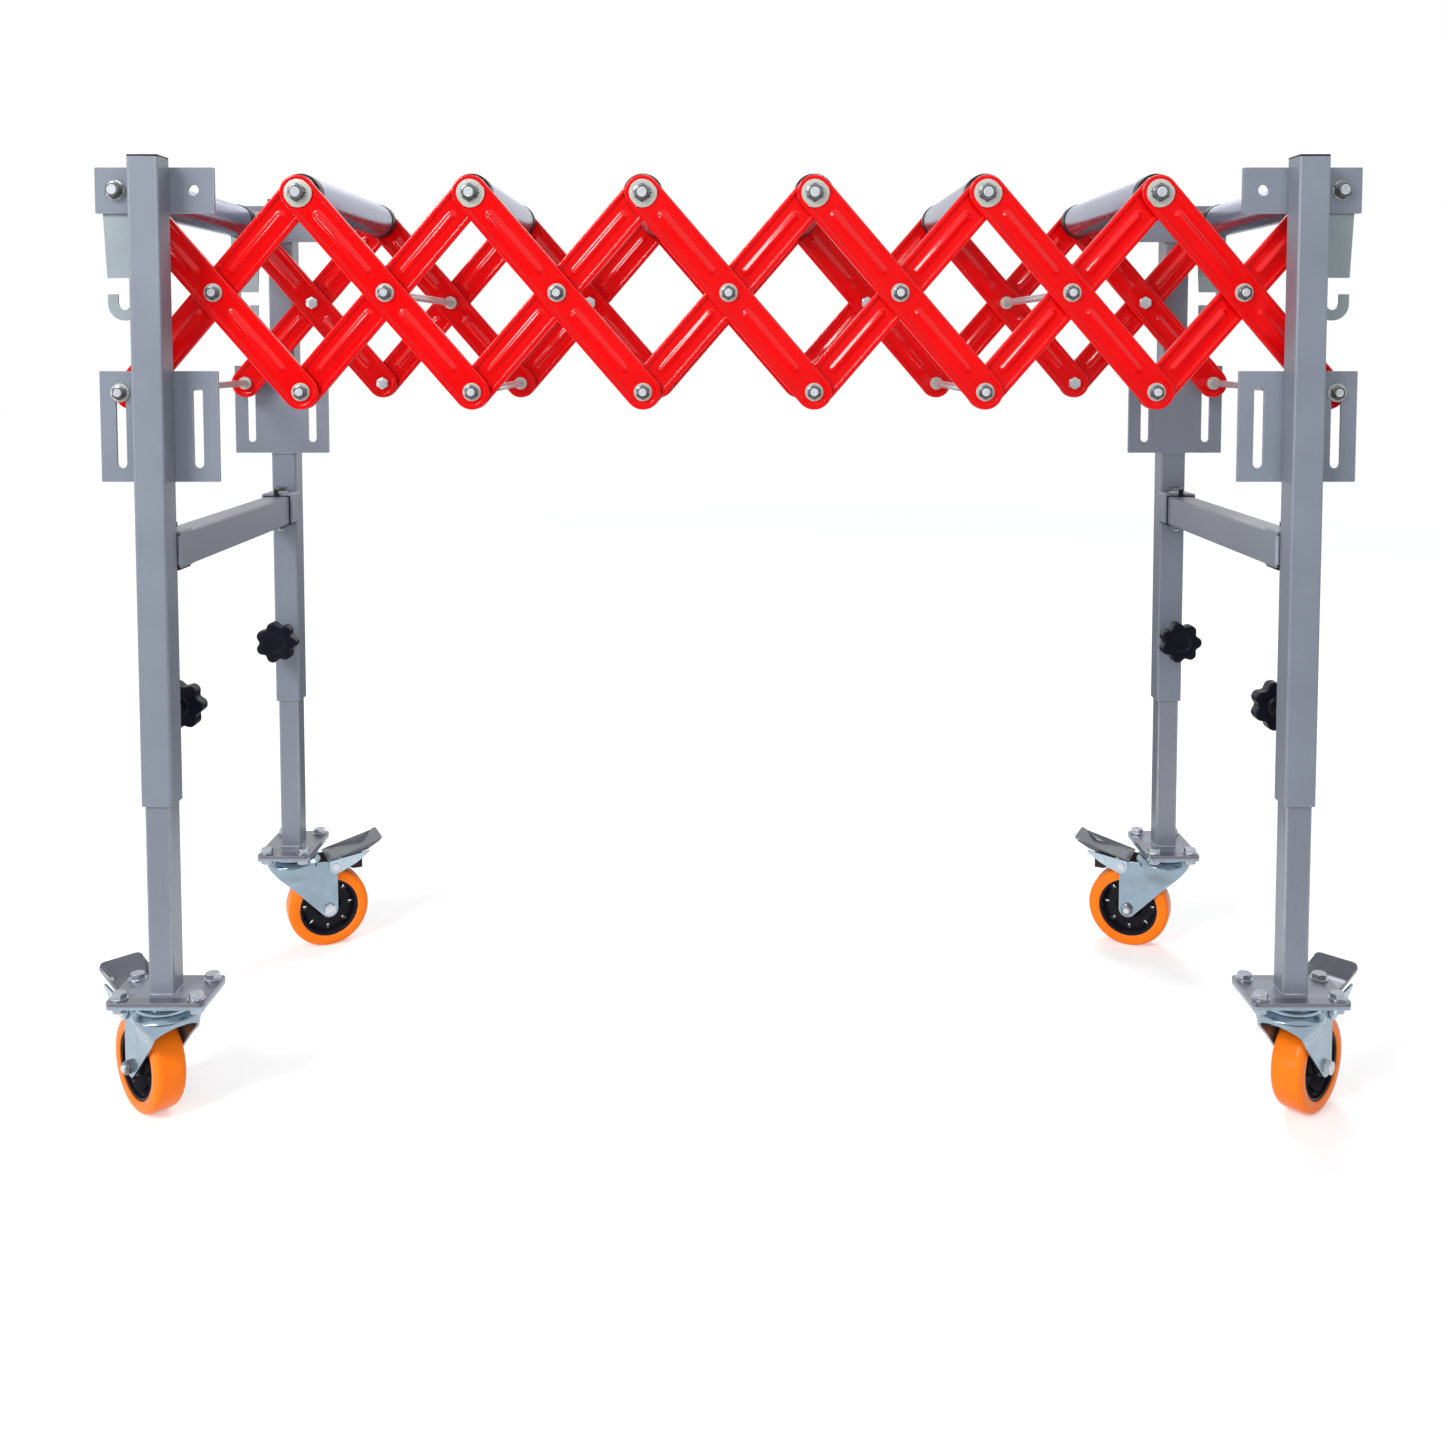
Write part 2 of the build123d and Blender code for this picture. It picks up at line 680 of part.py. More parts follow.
def hook_outline(opening):
    """The coupling hook seen from the front, its bolt hole at the origin, the throat towards opening."""
    outer_radius = (hook_tip_reach + hook_spine_reach) / 2
    bend_x = hook_spine_reach - outer_radius
    bend_z = outer_radius - hook_drop
    spine_inner = hook_spine_reach - (hook_tip_reach + hook_spine_reach - hook_band - hook_throat)
    panel = Polyline(
        (-hook_top_reach, hook_top_rise),
        (hook_spine_reach, hook_top_rise),
        (hook_spine_reach, -hook_panel_drop),
        (-hook_tip_reach, -hook_panel_drop),
        (-hook_top_reach, -hook_top_rise),
        close=True,
    )
    spine = Polyline(
        (spine_inner, -hook_panel_drop),
        (hook_spine_reach, -hook_panel_drop),
        (hook_spine_reach, bend_z),
        (spine_inner, bend_z),
        close=True,
    )
    tip_top = hook_tip_rise - hook_drop
    tip = Polyline(
        (-hook_tip_reach, bend_z),
        (-hook_tip_reach, tip_top),
        (hook_band - hook_tip_reach, tip_top),
        (hook_band - hook_tip_reach, bend_z),
        close=True,
    )
    bend = Pos(bend_x, bend_z) * (Circle(outer_radius) - Circle(hook_throat / 2))
    upper_half = Rectangle(2 * outer_radius, outer_radius, align=(Align.CENTER, Align.MIN))
    bend -= Pos(bend_x, bend_z) * upper_half
    shape = make_face(panel) + make_face(spine) + make_face(tip) + bend
    shape -= Circle(axle_radius + turning_fit)
    if opening > 0:
        shape = mirror(shape, Plane.YZ)
    return shape


def coupling_hook(end, side):
    """A hook plate on the end axle, between the top plate and the arms."""
    opening = end if side < 0 else -end
    plate = extrude(Plane.XZ * hook_outline(opening), hook_sheet)
    x = end * length_between_ends / 2
    y_back = -plate_inner_y + hook_sheet if side < 0 else plate_inner_y
    return Pos(x, y_back, top_pivot_z) * plate


def lower_leg(end, side):
    """The inner leg tube on its base plate, with the caster's own plate bolted under it."""
    tube = square_tube(
        lower_tube, lower_tube, lower_tube_wall, lower_tube_corner,
        lower_tube_z, lower_tube_z + lower_tube_length,
    )
    plate = RectangleRounded(base_plate_length, base_plate_width, base_plate_corner)
    base = Pos(0, 0, base_plate_z) * extrude(plate, base_plate_thickness)
    caster_plate = Pos(0, 0, caster_height) * extrude(plate, caster_plate_thickness)
    race_z = caster_height - race_height
    race = upright(0, 0, race_z, caster_height, race_radius)
    caster_plate += fillet(race.edges().sort_by(Axis.Z)[0], race_edge_fillet)
    crown_top = race_z - swivel_gap
    head_z = crown_top - crown_sheet - swivel_gap - kingpin_head_height
    caster_plate += upright(0, 0, head_z, race_z, kingpin_radius)
    caster_plate += upright(0, 0, head_z, head_z + kingpin_head_height, kingpin_head_radius)
    bolts = []
    for way in (-1, 1):
        for row in (-1, 1):
            x = way * base_bolt_length_spacing / 2
            y = row * base_bolt_width_spacing / 2
            hole_radius = base_bolt_radius + bolt_hole_clearance
            hole = upright(x, y, caster_height, lower_tube_z, hole_radius)
            base -= hole
            caster_plate -= hole
            bolts.append(base_bolt(x, y))
    pieces = [tube, base, caster_plate] + bolts
    turn = 0 if side < 0 else 90
    return [Pos(end * leg_x, side * leg_y, 0) * Rot(0, 0, turn) * piece for piece in pieces]


def base_bolt(x, y):
    """A bolt through both plates, head and washer on top, nut below."""
    washer_top = lower_tube_z + base_washer_thickness
    nut_low = caster_height - base_nut_height
    bolt = upright(x, y, nut_low - base_bolt_tail, washer_top, base_bolt_radius)
    bolt += upright(x, y, lower_tube_z, washer_top, base_washer_radius)
    bolt += hexagon_upright(x, y, washer_top, 1, base_bolt_flats, base_bolt_head)
    bolt += hexagon_upright(x, y, caster_height, -1, base_bolt_flats, base_nut_height)
    return bolt


crown_top_z = caster_height - race_height - swivel_gap
cheek_inner = wheel_width / 2 + fork_side_gap
cheek_outer = cheek_inner + fork_sheet


def fork_side_outline():
    """A fork cheek seen from the side: slanted front edge, upright rear edge, round eye and ear."""
    eye = (caster_trail, wheel_radius)
    front = (-fork_front_reach, crown_top_z - fork_front_drop)
    distance = math.hypot(front[0] - eye[0], front[1] - eye[1])
    towards_front = math.atan2(front[1] - eye[1], front[0] - eye[0])
    tangent = towards_front + math.acos(fork_eye_radius / distance)
    tangent_x = eye[0] + fork_eye_radius * math.cos(tangent)
    tangent_z = eye[1] + fork_eye_radius * math.sin(tangent)
    rear_x = eye[0] + fork_eye_radius
    neck_z = wheel_radius + fork_rear_neck
    shoulder_z = crown_top_z - fork_shoulder_drop
    inner_z = crown_top_z - crown_sheet + fork_shoulder_inset
    ear_x = pedal_pivot_reach + fork_ear_radius
    cheek = make_face(Polyline(
        front,
        (tangent_x, tangent_z),
        eye,
        (rear_x, eye[1]),
        (rear_x, neck_z),
        (ear_x, pedal_pivot_rise),
        (pedal_pivot_reach, pedal_pivot_rise + fork_ear_radius),
        (crown_flat_radius, shoulder_z),
        (fork_crown_reach, inner_z),
        (-fork_crown_reach, inner_z),
        (-fork_front_reach, shoulder_z),
        close=True,
    ))
    cheek += Pos(*eye) * Circle(fork_eye_radius)
    cheek += Pos(pedal_pivot_reach, pedal_pivot_rise) * Circle(fork_ear_radius)
    return cheek


def fork_solid():
    """The pressed fork: a dished crown that turns on the kingpin, and two cheeks."""
    flat_z = crown_top_z
    slope_z = flat_z - crown_slope_drop
    edge_z = flat_z - crown_depth
    bore = kingpin_radius + kingpin_fit
    inner_radius = crown_radius - crown_sheet
    inner_flat = crown_flat_radius - crown_sheet / 2
    crown = make_face(Plane.XZ * Polyline(
        (bore, flat_z),
        (crown_flat_radius, flat_z),
        (crown_radius, slope_z),
        (crown_radius, edge_z),
        (inner_radius, edge_z),
        (inner_radius, slope_z - crown_sheet / 2),
        (inner_flat, flat_z - crown_sheet),
        (bore, flat_z - crown_sheet),
        close=True,
    ))
    fork = revolve(crown, Axis.Z)
    cheek = extrude(Plane.XZ * fork_side_outline(), fork_sheet)
    fork += Pos(0, cheek_outer, 0) * cheek
    fork += Pos(0, -cheek_inner, 0) * cheek
    fork -= across(caster_trail, wheel_radius, -cheek_outer, cheek_outer, axle_bolt_radius)
    hole = pedal_pivot_radius
    fork -= across(pedal_pivot_reach, pedal_pivot_rise, -cheek_outer, cheek_outer, hole)
    return fork


web_inner = cheek_outer + pedal_side_gap
web_outer = web_inner + pedal_sheet


def caster_fork():
    """The fork with the wheel's axle bolt, its nut and the pedal's pivot rivet."""
    x, z = caster_trail, wheel_radius
    bolt = across(x, z, -cheek_outer, cheek_outer + axle_bolt_nut + bolt_end_proud, axle_bolt_radius)
    bolt += hexagon_across(x, z, -cheek_outer, -1, axle_bolt_flats, axle_bolt_head)
    nut = hexagon_across(x, z, cheek_outer, 1, axle_bolt_flats, axle_bolt_nut)
    nut -= across(x, z, cheek_outer, cheek_outer + axle_bolt_nut, axle_bolt_radius)
    px, pz = pedal_pivot_reach, pedal_pivot_rise
    head_start = web_outer + axial_play
    rivet = across(px, pz, -head_start, head_start, pedal_pivot_radius)
    for side in (-1, 1):
        low = min(side * head_start, side * (head_start + pedal_pivot_head))
        high = max(side * head_start, side * (head_start + pedal_pivot_head))
        rivet += across(px, pz, low, high, pedal_pivot_head_radius)
    return [fork_solid(), bolt, nut, rivet]


def caster_wheel():
    """A moulded core with a cast tread round it, both turned about the axle bolt."""
    half = wheel_width / 2
    tread = Pos(half, 0) * Rectangle(wheel_width, wheel_radius, align=(Align.MAX, Align.MIN))
    shoulders = tread.vertices().group_by(Axis.Y)[-1]
    tread = fillet(shoulders, wheel_shoulder)
    tread -= Rectangle(2 * wheel_width, wheel_core_radius, align=(Align.CENTER, Align.MIN))
    ring = revolve(Plane.XZ * tread, Axis.X)
    core_half = half - wheel_core_inset
    web_half = core_half - wheel_dish_depth
    hub_half = cheek_inner - wheel_hub_gap
    core = Rectangle(2 * core_half, wheel_core_radius, align=(Align.CENTER, Align.MIN))
    for way in (-1, 1):
        dish_align = (Align.MIN if way > 0 else Align.MAX, Align.MIN)
        dish_size = Rectangle(wheel_width, wheel_dish_outer - wheel_hub_radius, align=dish_align)
        core -= Pos(way * web_half, wheel_hub_radius) * dish_size
    core += Rectangle(2 * hub_half, wheel_hub_radius, align=(Align.CENTER, Align.MIN))
    bore = axle_bolt_radius + turning_fit
    core -= Rectangle(2 * wheel_width, bore, align=(Align.CENTER, Align.MIN))
    middle = revolve(Plane.XZ * core, Axis.X)
    window = Cylinder(wheel_window_radius, 2 * wheel_width, rotation=(0, 90, 0))
    for number in range(wheel_window_count):
        turn = number * 360 / wheel_window_count
        middle -= Rot(turn, 0, 0) * Pos(0, 0, wheel_window_circle) * window
    place = Pos(caster_trail, 0, wheel_radius) * Rot(0, 0, 90)
    return [place * ring, place * middle]


def pedal_roof(reach):
    """Height of the pedal's top face over a point on its straight part."""
    share = (reach - pedal_start) / (pedal_bend - pedal_start)
    return pedal_pivot_rise + pedal_rise_start + share * (pedal_rise_bend - pedal_rise_start)


def brake_pedal():
    """The brake pedal: a bent sheet with a web down each side, and the pad that meets the tread."""
    tip_z = pedal_pivot_rise + pedal_rise_tip
    sheet = make_face(Plane.XZ * Polyline(
        (pedal_start, pedal_roof(pedal_start)),
        (pedal_bend, pedal_roof(pedal_bend)),
        (pedal_tip, tip_z),
        (pedal_tip + pedal_sheet, tip_z - pedal_sheet),
        (pedal_bend + pedal_sheet, pedal_roof(pedal_bend) - pedal_sheet),
        (pedal_start, pedal_roof(pedal_start) - pedal_sheet),
        close=True,
    ))
    pedal = extrude(sheet, web_outer, both=True)
    tip_edges = pedal.faces().sort_by(Axis.X)[-1].edges().sort_by(Axis.Y)
    pedal = fillet([tip_edges[0], tip_edges[-1]], pedal_tip_corner)
    belly_z = pedal_pivot_rise + pedal_web_belly_rise
    web = make_face(Polyline(
        (pedal_start + pedal_sheet, pedal_roof(pedal_start + pedal_sheet) - pedal_sheet / 2),
        (pedal_bend, pedal_roof(pedal_bend) - pedal_sheet / 2),
        (pedal_web_belly, belly_z),
        (pedal_pivot_reach, pedal_pivot_rise - pedal_web_radius),
        (pedal_start + pedal_sheet, pedal_pivot_rise),
        close=True,
    ))
    web += Pos(pedal_pivot_reach, pedal_pivot_rise) * Circle(pedal_web_radius - pedal_sheet)
    web_side = extrude(Plane.XZ * web, pedal_sheet)
    pedal += Pos(0, web_outer, 0) * web_side
    pedal += Pos(0, -web_inner, 0) * web_side
    hole = pedal_pivot_radius + pedal_pivot_fit
    pedal -= across(pedal_pivot_reach, pedal_pivot_rise, -web_outer, web_outer, hole)
    rivet_z = pedal_pivot_rise + pedal_rivet_rise
    for side in (-1, 1):
        low = min(side * web_inner, side * (web_outer + pedal_pivot_head))
        high = max(side * web_inner, side * (web_outer + pedal_pivot_head))
        pedal += across(pedal_rivet_reach, rivet_z, low, high, pedal_rivet_radius)
    pad = make_face(Plane.XZ * Polyline(
        (pad_start, pedal_roof(pad_start) - pedal_sheet),
        (pad_end, pedal_roof(pad_end) - pedal_sheet),
        (pad_end, pedal_pivot_rise - pad_floor),
        (pad_start, pedal_pivot_rise - pad_floor),
        close=True,
    ))
    pad = extrude(pad, pad_half_width, both=True)
    clearance_radius = wheel_radius + pad_wheel_gap
    pad -= across(caster_trail, wheel_radius, -web_outer, web_outer, clearance_radius)
    return [pedal, pad]


def height_knob(end, side):
    """A lobed clamping knob with its stud, screwed through the boss against the lower leg."""
    lobe_circle = knob_radius - knob_lobe_radius
    star = Circle(lobe_circle)
    star += PolarLocations(lobe_circle, knob_lobes) * Circle(knob_lobe_radius)
    head_z = knob_collar_start + knob_collar_length
    head = Pos(0, 0, head_z) * extrude(star, knob_thickness)
    head = fillet(head.faces().sort_by(Axis.Z)[-1].edges(), knob_edge_fillet)
    head += upright(0, 0, knob_collar_start, head_z, knob_collar_radius)
    tube_gap = upper_tube / 2 - upper_tube_wall - lower_tube / 2
    tip_z = -(upper_tube_wall + tube_gap - knob_stud_tip_gap)
    head -= upright(0, 0, knob_collar_start, head_z, knob_stud_radius)
    stud = upright(0, 0, tip_z, head_z, knob_stud_radius)
    seat = Plane(
        origin=(end * leg_x, side * leg_inner_y, knob_z), x_dir=(1, 0, 0), z_dir=(0, -side, 0)
    )
    return [seat * head, seat * stud]


def caster_place(end, side):
    """Where a caster stands and which way it trails."""
    if side < 0:
        heading = 180 - front_trail_angle if end < 0 else front_trail_angle
    else:
        heading = rear_trail_angle if end < 0 else 180 - rear_trail_angle
    return Pos(end * leg_x, side * leg_y, 0) * Rot(0, 0, heading)


nodes = {}
for end_name, end in (("left", -1), ("right", 1)):
    nodes[f"{end_name}_upper_legs"] = leg_weldment(end, -1) + leg_weldment(end, 1)
    nodes[f"{end_name}_crossbar"] = crossbar(end)
    plastic = [leg_cap(end, side) for side in (-1, 1)]
    nodes[f"{end_name}_plastic_caps"] = plastic + [crossbar_sleeve(end, side) for side in (-1, 1)]
    nodes[f"{end_name}_frame_bolts"] = frame_bolts(end)
    nodes[f"{end_name}_coupling_hooks"] = [coupling_hook(end, side) for side in (-1, 1)]
for bay in range(bay_count):
    nodes[f"falling_arms_{bay + 1}"] = arm_pair(bay, falling_arm, falling_back_y)
    nodes[f"rising_arms_{bay + 1}"] = arm_pair(bay, rising_arm, rising_back_y)
    nodes[f"pivot_pins_{bay + 1}"] = pivot_pins(bay)
nodes["left_slot_pin"] = slot_pin(0)
for index in range(bay_count + 1):
    nodes[f"roller_{index + 1}"] = roller(index)
fork_pieces = caster_fork()
wheel_pieces = caster_wheel()
pedal_pieces = brake_pedal()
for side_name, side in (("front", -1), ("rear", 1)):
    for end_name, end in (("left", -1), ("right", 1)):
        corner = f"{side_name}_{end_name}"
        place = caster_place(end, side)
        nodes[f"{corner}_lower_leg"] = lower_leg(end, side)
        nodes[f"{corner}_height_knob"] = height_knob(end, side)
        nodes[f"{corner}_caster_fork"] = [place * piece for piece in fork_pieces]
        nodes[f"{corner}_caster_wheel"] = [place * piece for piece in wheel_pieces]
        nodes[f"{corner}_brake_pedal"] = [place * piece for piece in pedal_pieces]

# The origin is on the floor, in the middle of the space that the conveyor takes up
everything = Compound(children=[solid for pieces in nodes.values() for shape in pieces
                                for solid in shape.solids()])
extent = everything.bounding_box()
to_middle = Pos(0, -(extent.min.Y + extent.max.Y) / 2, 0)
print("moved to the middle along Y by", to_middle.position.Y)

os.makedirs("parts", exist_ok=True)
for name, pieces in nodes.items():
    solids = [to_middle * solid for shape in pieces for solid in shape.solids()]
    export_step(Compound(children=solids), f"parts/{name}.step")
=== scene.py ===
import json
import math
from collections import namedtuple

import bmesh
import bpy
from mathutils import Matrix, Vector
from mathutils.geometry import delaunay_2d_cdt


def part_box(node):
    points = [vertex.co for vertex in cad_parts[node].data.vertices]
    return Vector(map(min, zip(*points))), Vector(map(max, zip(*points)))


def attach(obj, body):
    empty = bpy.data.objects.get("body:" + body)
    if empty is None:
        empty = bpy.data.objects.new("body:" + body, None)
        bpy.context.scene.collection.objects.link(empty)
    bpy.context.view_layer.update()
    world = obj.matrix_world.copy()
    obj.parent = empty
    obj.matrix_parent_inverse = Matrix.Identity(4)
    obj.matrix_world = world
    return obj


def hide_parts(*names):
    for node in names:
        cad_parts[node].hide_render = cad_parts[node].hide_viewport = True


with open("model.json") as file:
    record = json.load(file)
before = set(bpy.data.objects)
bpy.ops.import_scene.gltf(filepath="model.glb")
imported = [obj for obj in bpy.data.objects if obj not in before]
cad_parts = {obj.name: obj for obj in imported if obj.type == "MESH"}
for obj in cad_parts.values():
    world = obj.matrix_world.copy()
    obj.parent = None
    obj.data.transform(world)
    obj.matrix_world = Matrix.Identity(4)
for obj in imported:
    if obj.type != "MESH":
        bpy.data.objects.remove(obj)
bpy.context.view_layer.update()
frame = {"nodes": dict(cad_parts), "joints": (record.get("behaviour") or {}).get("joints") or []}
joint_place = {
    joint["name"]: Vector(joint["pos_m"]) for joint in frame["joints"] if "pos_m" in joint
}
bay_count = sum(name.startswith("crossing_") for name in joint_place)
corners = [name[:-len("_swivel")] for name in joint_place if name.endswith("_swivel")]


# Upper legs. Each is a square steel tube with two cut plates, a folded saddle for the crossbar and
# a thick nut for the height knob, all welded on. The weldment is powder coated a blue-grey, and
# its seams keep the ripple of the weld under the coat.
leg_grey = (0.185, 0.207, 0.255, 1)
# Paler blue-grey on the coat's edges: edge wear and a painted highlight.
leg_grey_edge = (0.36, 0.39, 0.46, 1)
broken_edge = 0.0005
merge_distance = 0.00001
leg_tube = 0.030
plate_sheet = 0.004
top_plate_drop = 0.007
top_plate_height = 0.044
slot_plate_height = 0.108
slot_plate_over_pivot = 0.021
bead_radius = 0.0024
bead_ripple = 0.0015
bead_waist, bead_tip = 0.86, 0.3
bead_off_tube = 0.002
bead_start = 0.004
plate_seam_half = 0.42
noise_low, noise_high = 0.32, 0.68
FLOAT, COLOR, VECTOR = "NodeSocketFloat", "NodeSocketColor", "NodeSocketVector"


def new_group(name, inputs, outputs):
    """An empty shader node group; the values of its inputs give their kinds."""
    group = bpy.data.node_groups.new(name, "ShaderNodeTree")
    for label, value in inputs.items():
        kind = FLOAT if isinstance(value, float) else COLOR if len(value) == 4 else VECTOR
        socket = group.interface.new_socket(label, in_out="INPUT", socket_type=kind)
        socket.default_value = value
    for label, kind in outputs.items():
        group.interface.new_socket(label, in_out="OUTPUT", socket_type=kind)
    given = group.nodes.new("NodeGroupInput").outputs
    result = group.nodes.new("NodeGroupOutput").inputs
    return group, given, result


def add(tree, kind, inputs=(), **settings):
    """A node with its settings; inputs hold a number, or a socket that is then linked."""
    made = tree.nodes.new(kind)
    for key, value in settings.items():
        setattr(made, key, value)
    for key, value in dict(inputs).items():
        if isinstance(value, bpy.types.NodeSocket):
            tree.links.new(value, made.inputs[key])
        else:
            made.inputs[key].default_value = value
    return made


def arithmetic(tree, operation, first, second):
    """The output of a math node."""
    return add(tree, "ShaderNodeMath", {0: first, 1: second}, operation=operation).outputs[0]


def noise(tree, place, size, detail):
    """Noise whose features are about the given size, as a value around one half."""
    scale = arithmetic(tree, "DIVIDE", 1.0, size)
    inputs = {"Vector": place, "Scale": scale, "Detail": detail}
    return add(tree, "ShaderNodeTexNoise", inputs).outputs[0]


def rescaled(tree, value, given, wanted):
    """Maps a value from one range to another, and no further than its ends."""
    inputs = dict(zip(("From Min", "From Max", "To Min", "To Max"), (*given, *wanted)))
    return add(tree, "ShaderNodeMapRange", {"Value": value, **inputs}).outputs[0]


def spread(tree, value, low, high):
    """Maps the middle of a noise to the range between two values."""
    return rescaled(tree, value, (noise_low, noise_high), (low, high))


def around(tree, middle, swing):
    """The two values a swing below and above a middle."""
    return arithmetic(tree, "SUBTRACT", middle, swing), arithmetic(tree, "ADD", middle, swing)


def blend_colours(tree, share, first, second):
    """The output of a colour mix."""
    inputs = {0: share, 6: first, 7: second}
    return add(tree, "ShaderNodeMix", inputs, data_type="RGBA").outputs[2]


def worn_and_highlit_edges_group():
    """A mask that is one on edges, broken into patches: it marks edge wear and a painted highlight.
    """
    inputs = {"Width": 0.001, "Patch": 0.02}
    group, given, result = new_group("worn and highlit edges", inputs, {"Mask": FLOAT})
    rounded = add(group, "ShaderNodeBevel", {"Radius": given["Width"]}, samples=4)
    surface = add(group, "ShaderNodeNewGeometry")
    inputs = {0: rounded.outputs[0], 1: surface.outputs["Normal"]}
    agreement = add(group, "ShaderNodeVectorMath", inputs, operation="DOT_PRODUCT")
    edge = rescaled(group, agreement.outputs["Value"], (0.995, 0.9), (0.0, 1.0))
    place = add(group, "ShaderNodeTexCoord").outputs["Object"]
    patches = spread(group, noise(group, place, given["Patch"], 3.0), 0.15, 1.0)
    group.links.new(arithmetic(group, "MULTIPLY", edge, patches), result["Mask"])
    return group


worn_and_highlit_edges = worn_and_highlit_edges_group()


def finish_group(name, inputs, build):
    """A finish as a group; build gives its colour, its relief, how high that is, its roughness."""
    outputs = {"Color": COLOR, "Roughness": FLOAT, "Normal": VECTOR}
    group, given, result = new_group(name, inputs, outputs)
    place = add(group, "ShaderNodeTexCoord").outputs["Object"]
    worn_and_highlit = add(group, "ShaderNodeGroup", {"Width": given["Edge Width"]}, node_tree=worn_and_highlit_edges)
    colour, relief, height, rough = build(group, given, place, worn_and_highlit.outputs["Mask"])
    bump = add(group, "ShaderNodeBump", {"Height": relief, "Distance": height})
    for label, socket in zip(outputs, (colour, rough, bump.outputs[0])):
        group.links.new(socket, result[label])
    return group


def mottled(group, given, place, worn_and_highlit, size, detail, swing):
    """A colour and a roughness that wander slowly together, the colour changed on edges for wear
    and a painted highlight.
    """
    slow = noise(group, place, size, detail)
    tone = spread(group, slow, *around(group, 1.0, given["Mottle"]))
    toned = add(group, "ShaderNodeHueSaturation", {"Color": given["Color"], "Value": tone})
    colour = blend_colours(group, worn_and_highlit, toned.outputs[0], given["Edge Color"])
    return colour, spread(group, slow, *around(group, given["Roughness"], swing))


def powder(group, given, place, worn_and_highlit):
    """Baked powder: a slow mottle of tone, a fine skin and paler edges, partly wear and partly
    painted highlight.
    """
    colour, rough = mottled(group, given, place, worn_and_highlit, given["Mottle Size"], 4.0, 0.04)
    return colour, noise(group, place, given["Skin Size"], 2.0), given["Skin Height"], rough


powder_coat = finish_group("powder coat", {
    "Color": (0.5, 0.5, 0.5, 1), "Edge Color": (0.8, 0.8, 0.8, 1), "Edge Width": 0.001,
    "Mottle": 0.05, "Mottle Size": 0.08, "Skin Size": 0.002, "Skin Height": 0.00002,
    "Roughness": 0.4,
}, powder)


def finish(name, effect, shader_values, **effect_values):
    """A material whose shader takes what changes over the surface from a node group."""
    material = bpy.data.materials.new(name)
    material.use_nodes = True
    tree = material.node_tree
    shader = tree.nodes["Principled BSDF"]
    for label, value in shader_values.items():
        shader.inputs[label].default_value = value
    values = {label.replace("_", " ").title(): value for label, value in effect_values.items()}
    surface = add(tree, "ShaderNodeGroup", values, node_tree=effect)
    for label in ("Color", "Roughness", "Normal"):
        socket = "Base Color" if label == "Color" else label
        tree.links.new(surface.outputs[label], shader.inputs[socket])
    return material


def break_edges(piece, width, degrees):
    """Breaks the edges of a piece that turn by more than an angle."""
    broken = piece.modifiers.new("broken edges", "BEVEL")
    broken.width = width
    broken.segments = 2
    broken.limit_method = "ANGLE"
    broken.angle_limit = math.radians(degrees)
    broken.harden_normals = True


def dress(node, materials, edge=broken_edge, choose=None):
    """Gives a CAD node its materials and broken edges; choose picks a material by face centre."""
    piece = frame["nodes"][node]
    piece.data.materials.clear()
    for material in materials:
        piece.data.materials.append(material)
    if choose:
        for face in piece.data.polygons:
            face.material_index = choose(face.center)
    joined = piece.modifiers.new("joined corners", "WELD")
    joined.merge_threshold = merge_distance
    whole = piece.modifiers.new("whole faces", "DECIMATE")
    whole.decimate_type = "DISSOLVE"
    whole.angle_limit = math.radians(1)
    whole.delimit = {"MATERIAL"}
    break_edges(piece, edge, 40)
    return piece


def place_object(name, data):
    """A new object in the scene."""
    made = bpy.data.objects.new(name, data)
    bpy.context.scene.collection.objects.link(made)
    return made


def piece_from(bm, name, materials, body, replaced=(), crease=32):
    """Turns a built mesh into a piece that rides on a body and stands for the replaced nodes."""
    bmesh.ops.remove_doubles(bm, verts=bm.verts, dist=merge_distance / 4)
    bmesh.ops.recalc_face_normals(bm, faces=bm.faces)
    mesh = bpy.data.meshes.new(name)
    bm.to_mesh(mesh)
    bm.free()
    mesh.polygons.foreach_set("use_smooth", [True] * len(mesh.polygons))
    mesh.set_sharp_from_angle(angle=math.radians(crease))
    for material in materials:
        mesh.materials.append(material)
    piece = place_object(name, mesh)
    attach(piece, body)
    if replaced:
        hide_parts(*replaced)
    return piece


def strip(bm, rings, closed=True, finish_index=0):
    """Joins rings of vertices with faces; a ring of one vertex is a point."""
    steps = max(len(ring) for ring in rings)
    for near, far in zip(rings, rings[1:]):
        for index in range(steps if closed else steps - 1):
            after = index + 1
            quad = [near[index % len(near)], near[after % len(near)]]
            quad += [far[after % len(far)], far[index % len(far)]]
            quad = list(dict.fromkeys(quad))
            if len(quad) > 2:
                bm.faces.new(quad).material_index = finish_index


def circle(bm, place, radius, height=0.0, steps=40):
    """A ring of vertices round the Z axis of a place, or one vertex for a radius of zero."""
    ring = []
    for step in range(steps if radius > 0 else 1):
        angle = math.tau * step / steps
        point = Vector((radius * math.cos(angle), radius * math.sin(angle), height))
        ring.append(bm.verts.new(place @ point))
    return ring


def weld_bead(bm, start, end, radius):
    """Rippled weld metal along a straight seam."""
    run = end - start
    turn = run.to_track_quat("Z", "Y").to_matrix().to_4x4()
    count = max(4, round(run.length / (bead_ripple / 2)))
    rings = [[bm.verts.new(start)]]
    for index in range(count + 1):
        swell = 1 if index % 2 else bead_waist
        if index in (0, count):
            swell = bead_tip
        place = Matrix.Translation(start + run * (index / count)) @ turn
        rings.append(circle(bm, place, radius * swell, steps=8))
    strip(bm, rings + [[bm.verts.new(end)]])


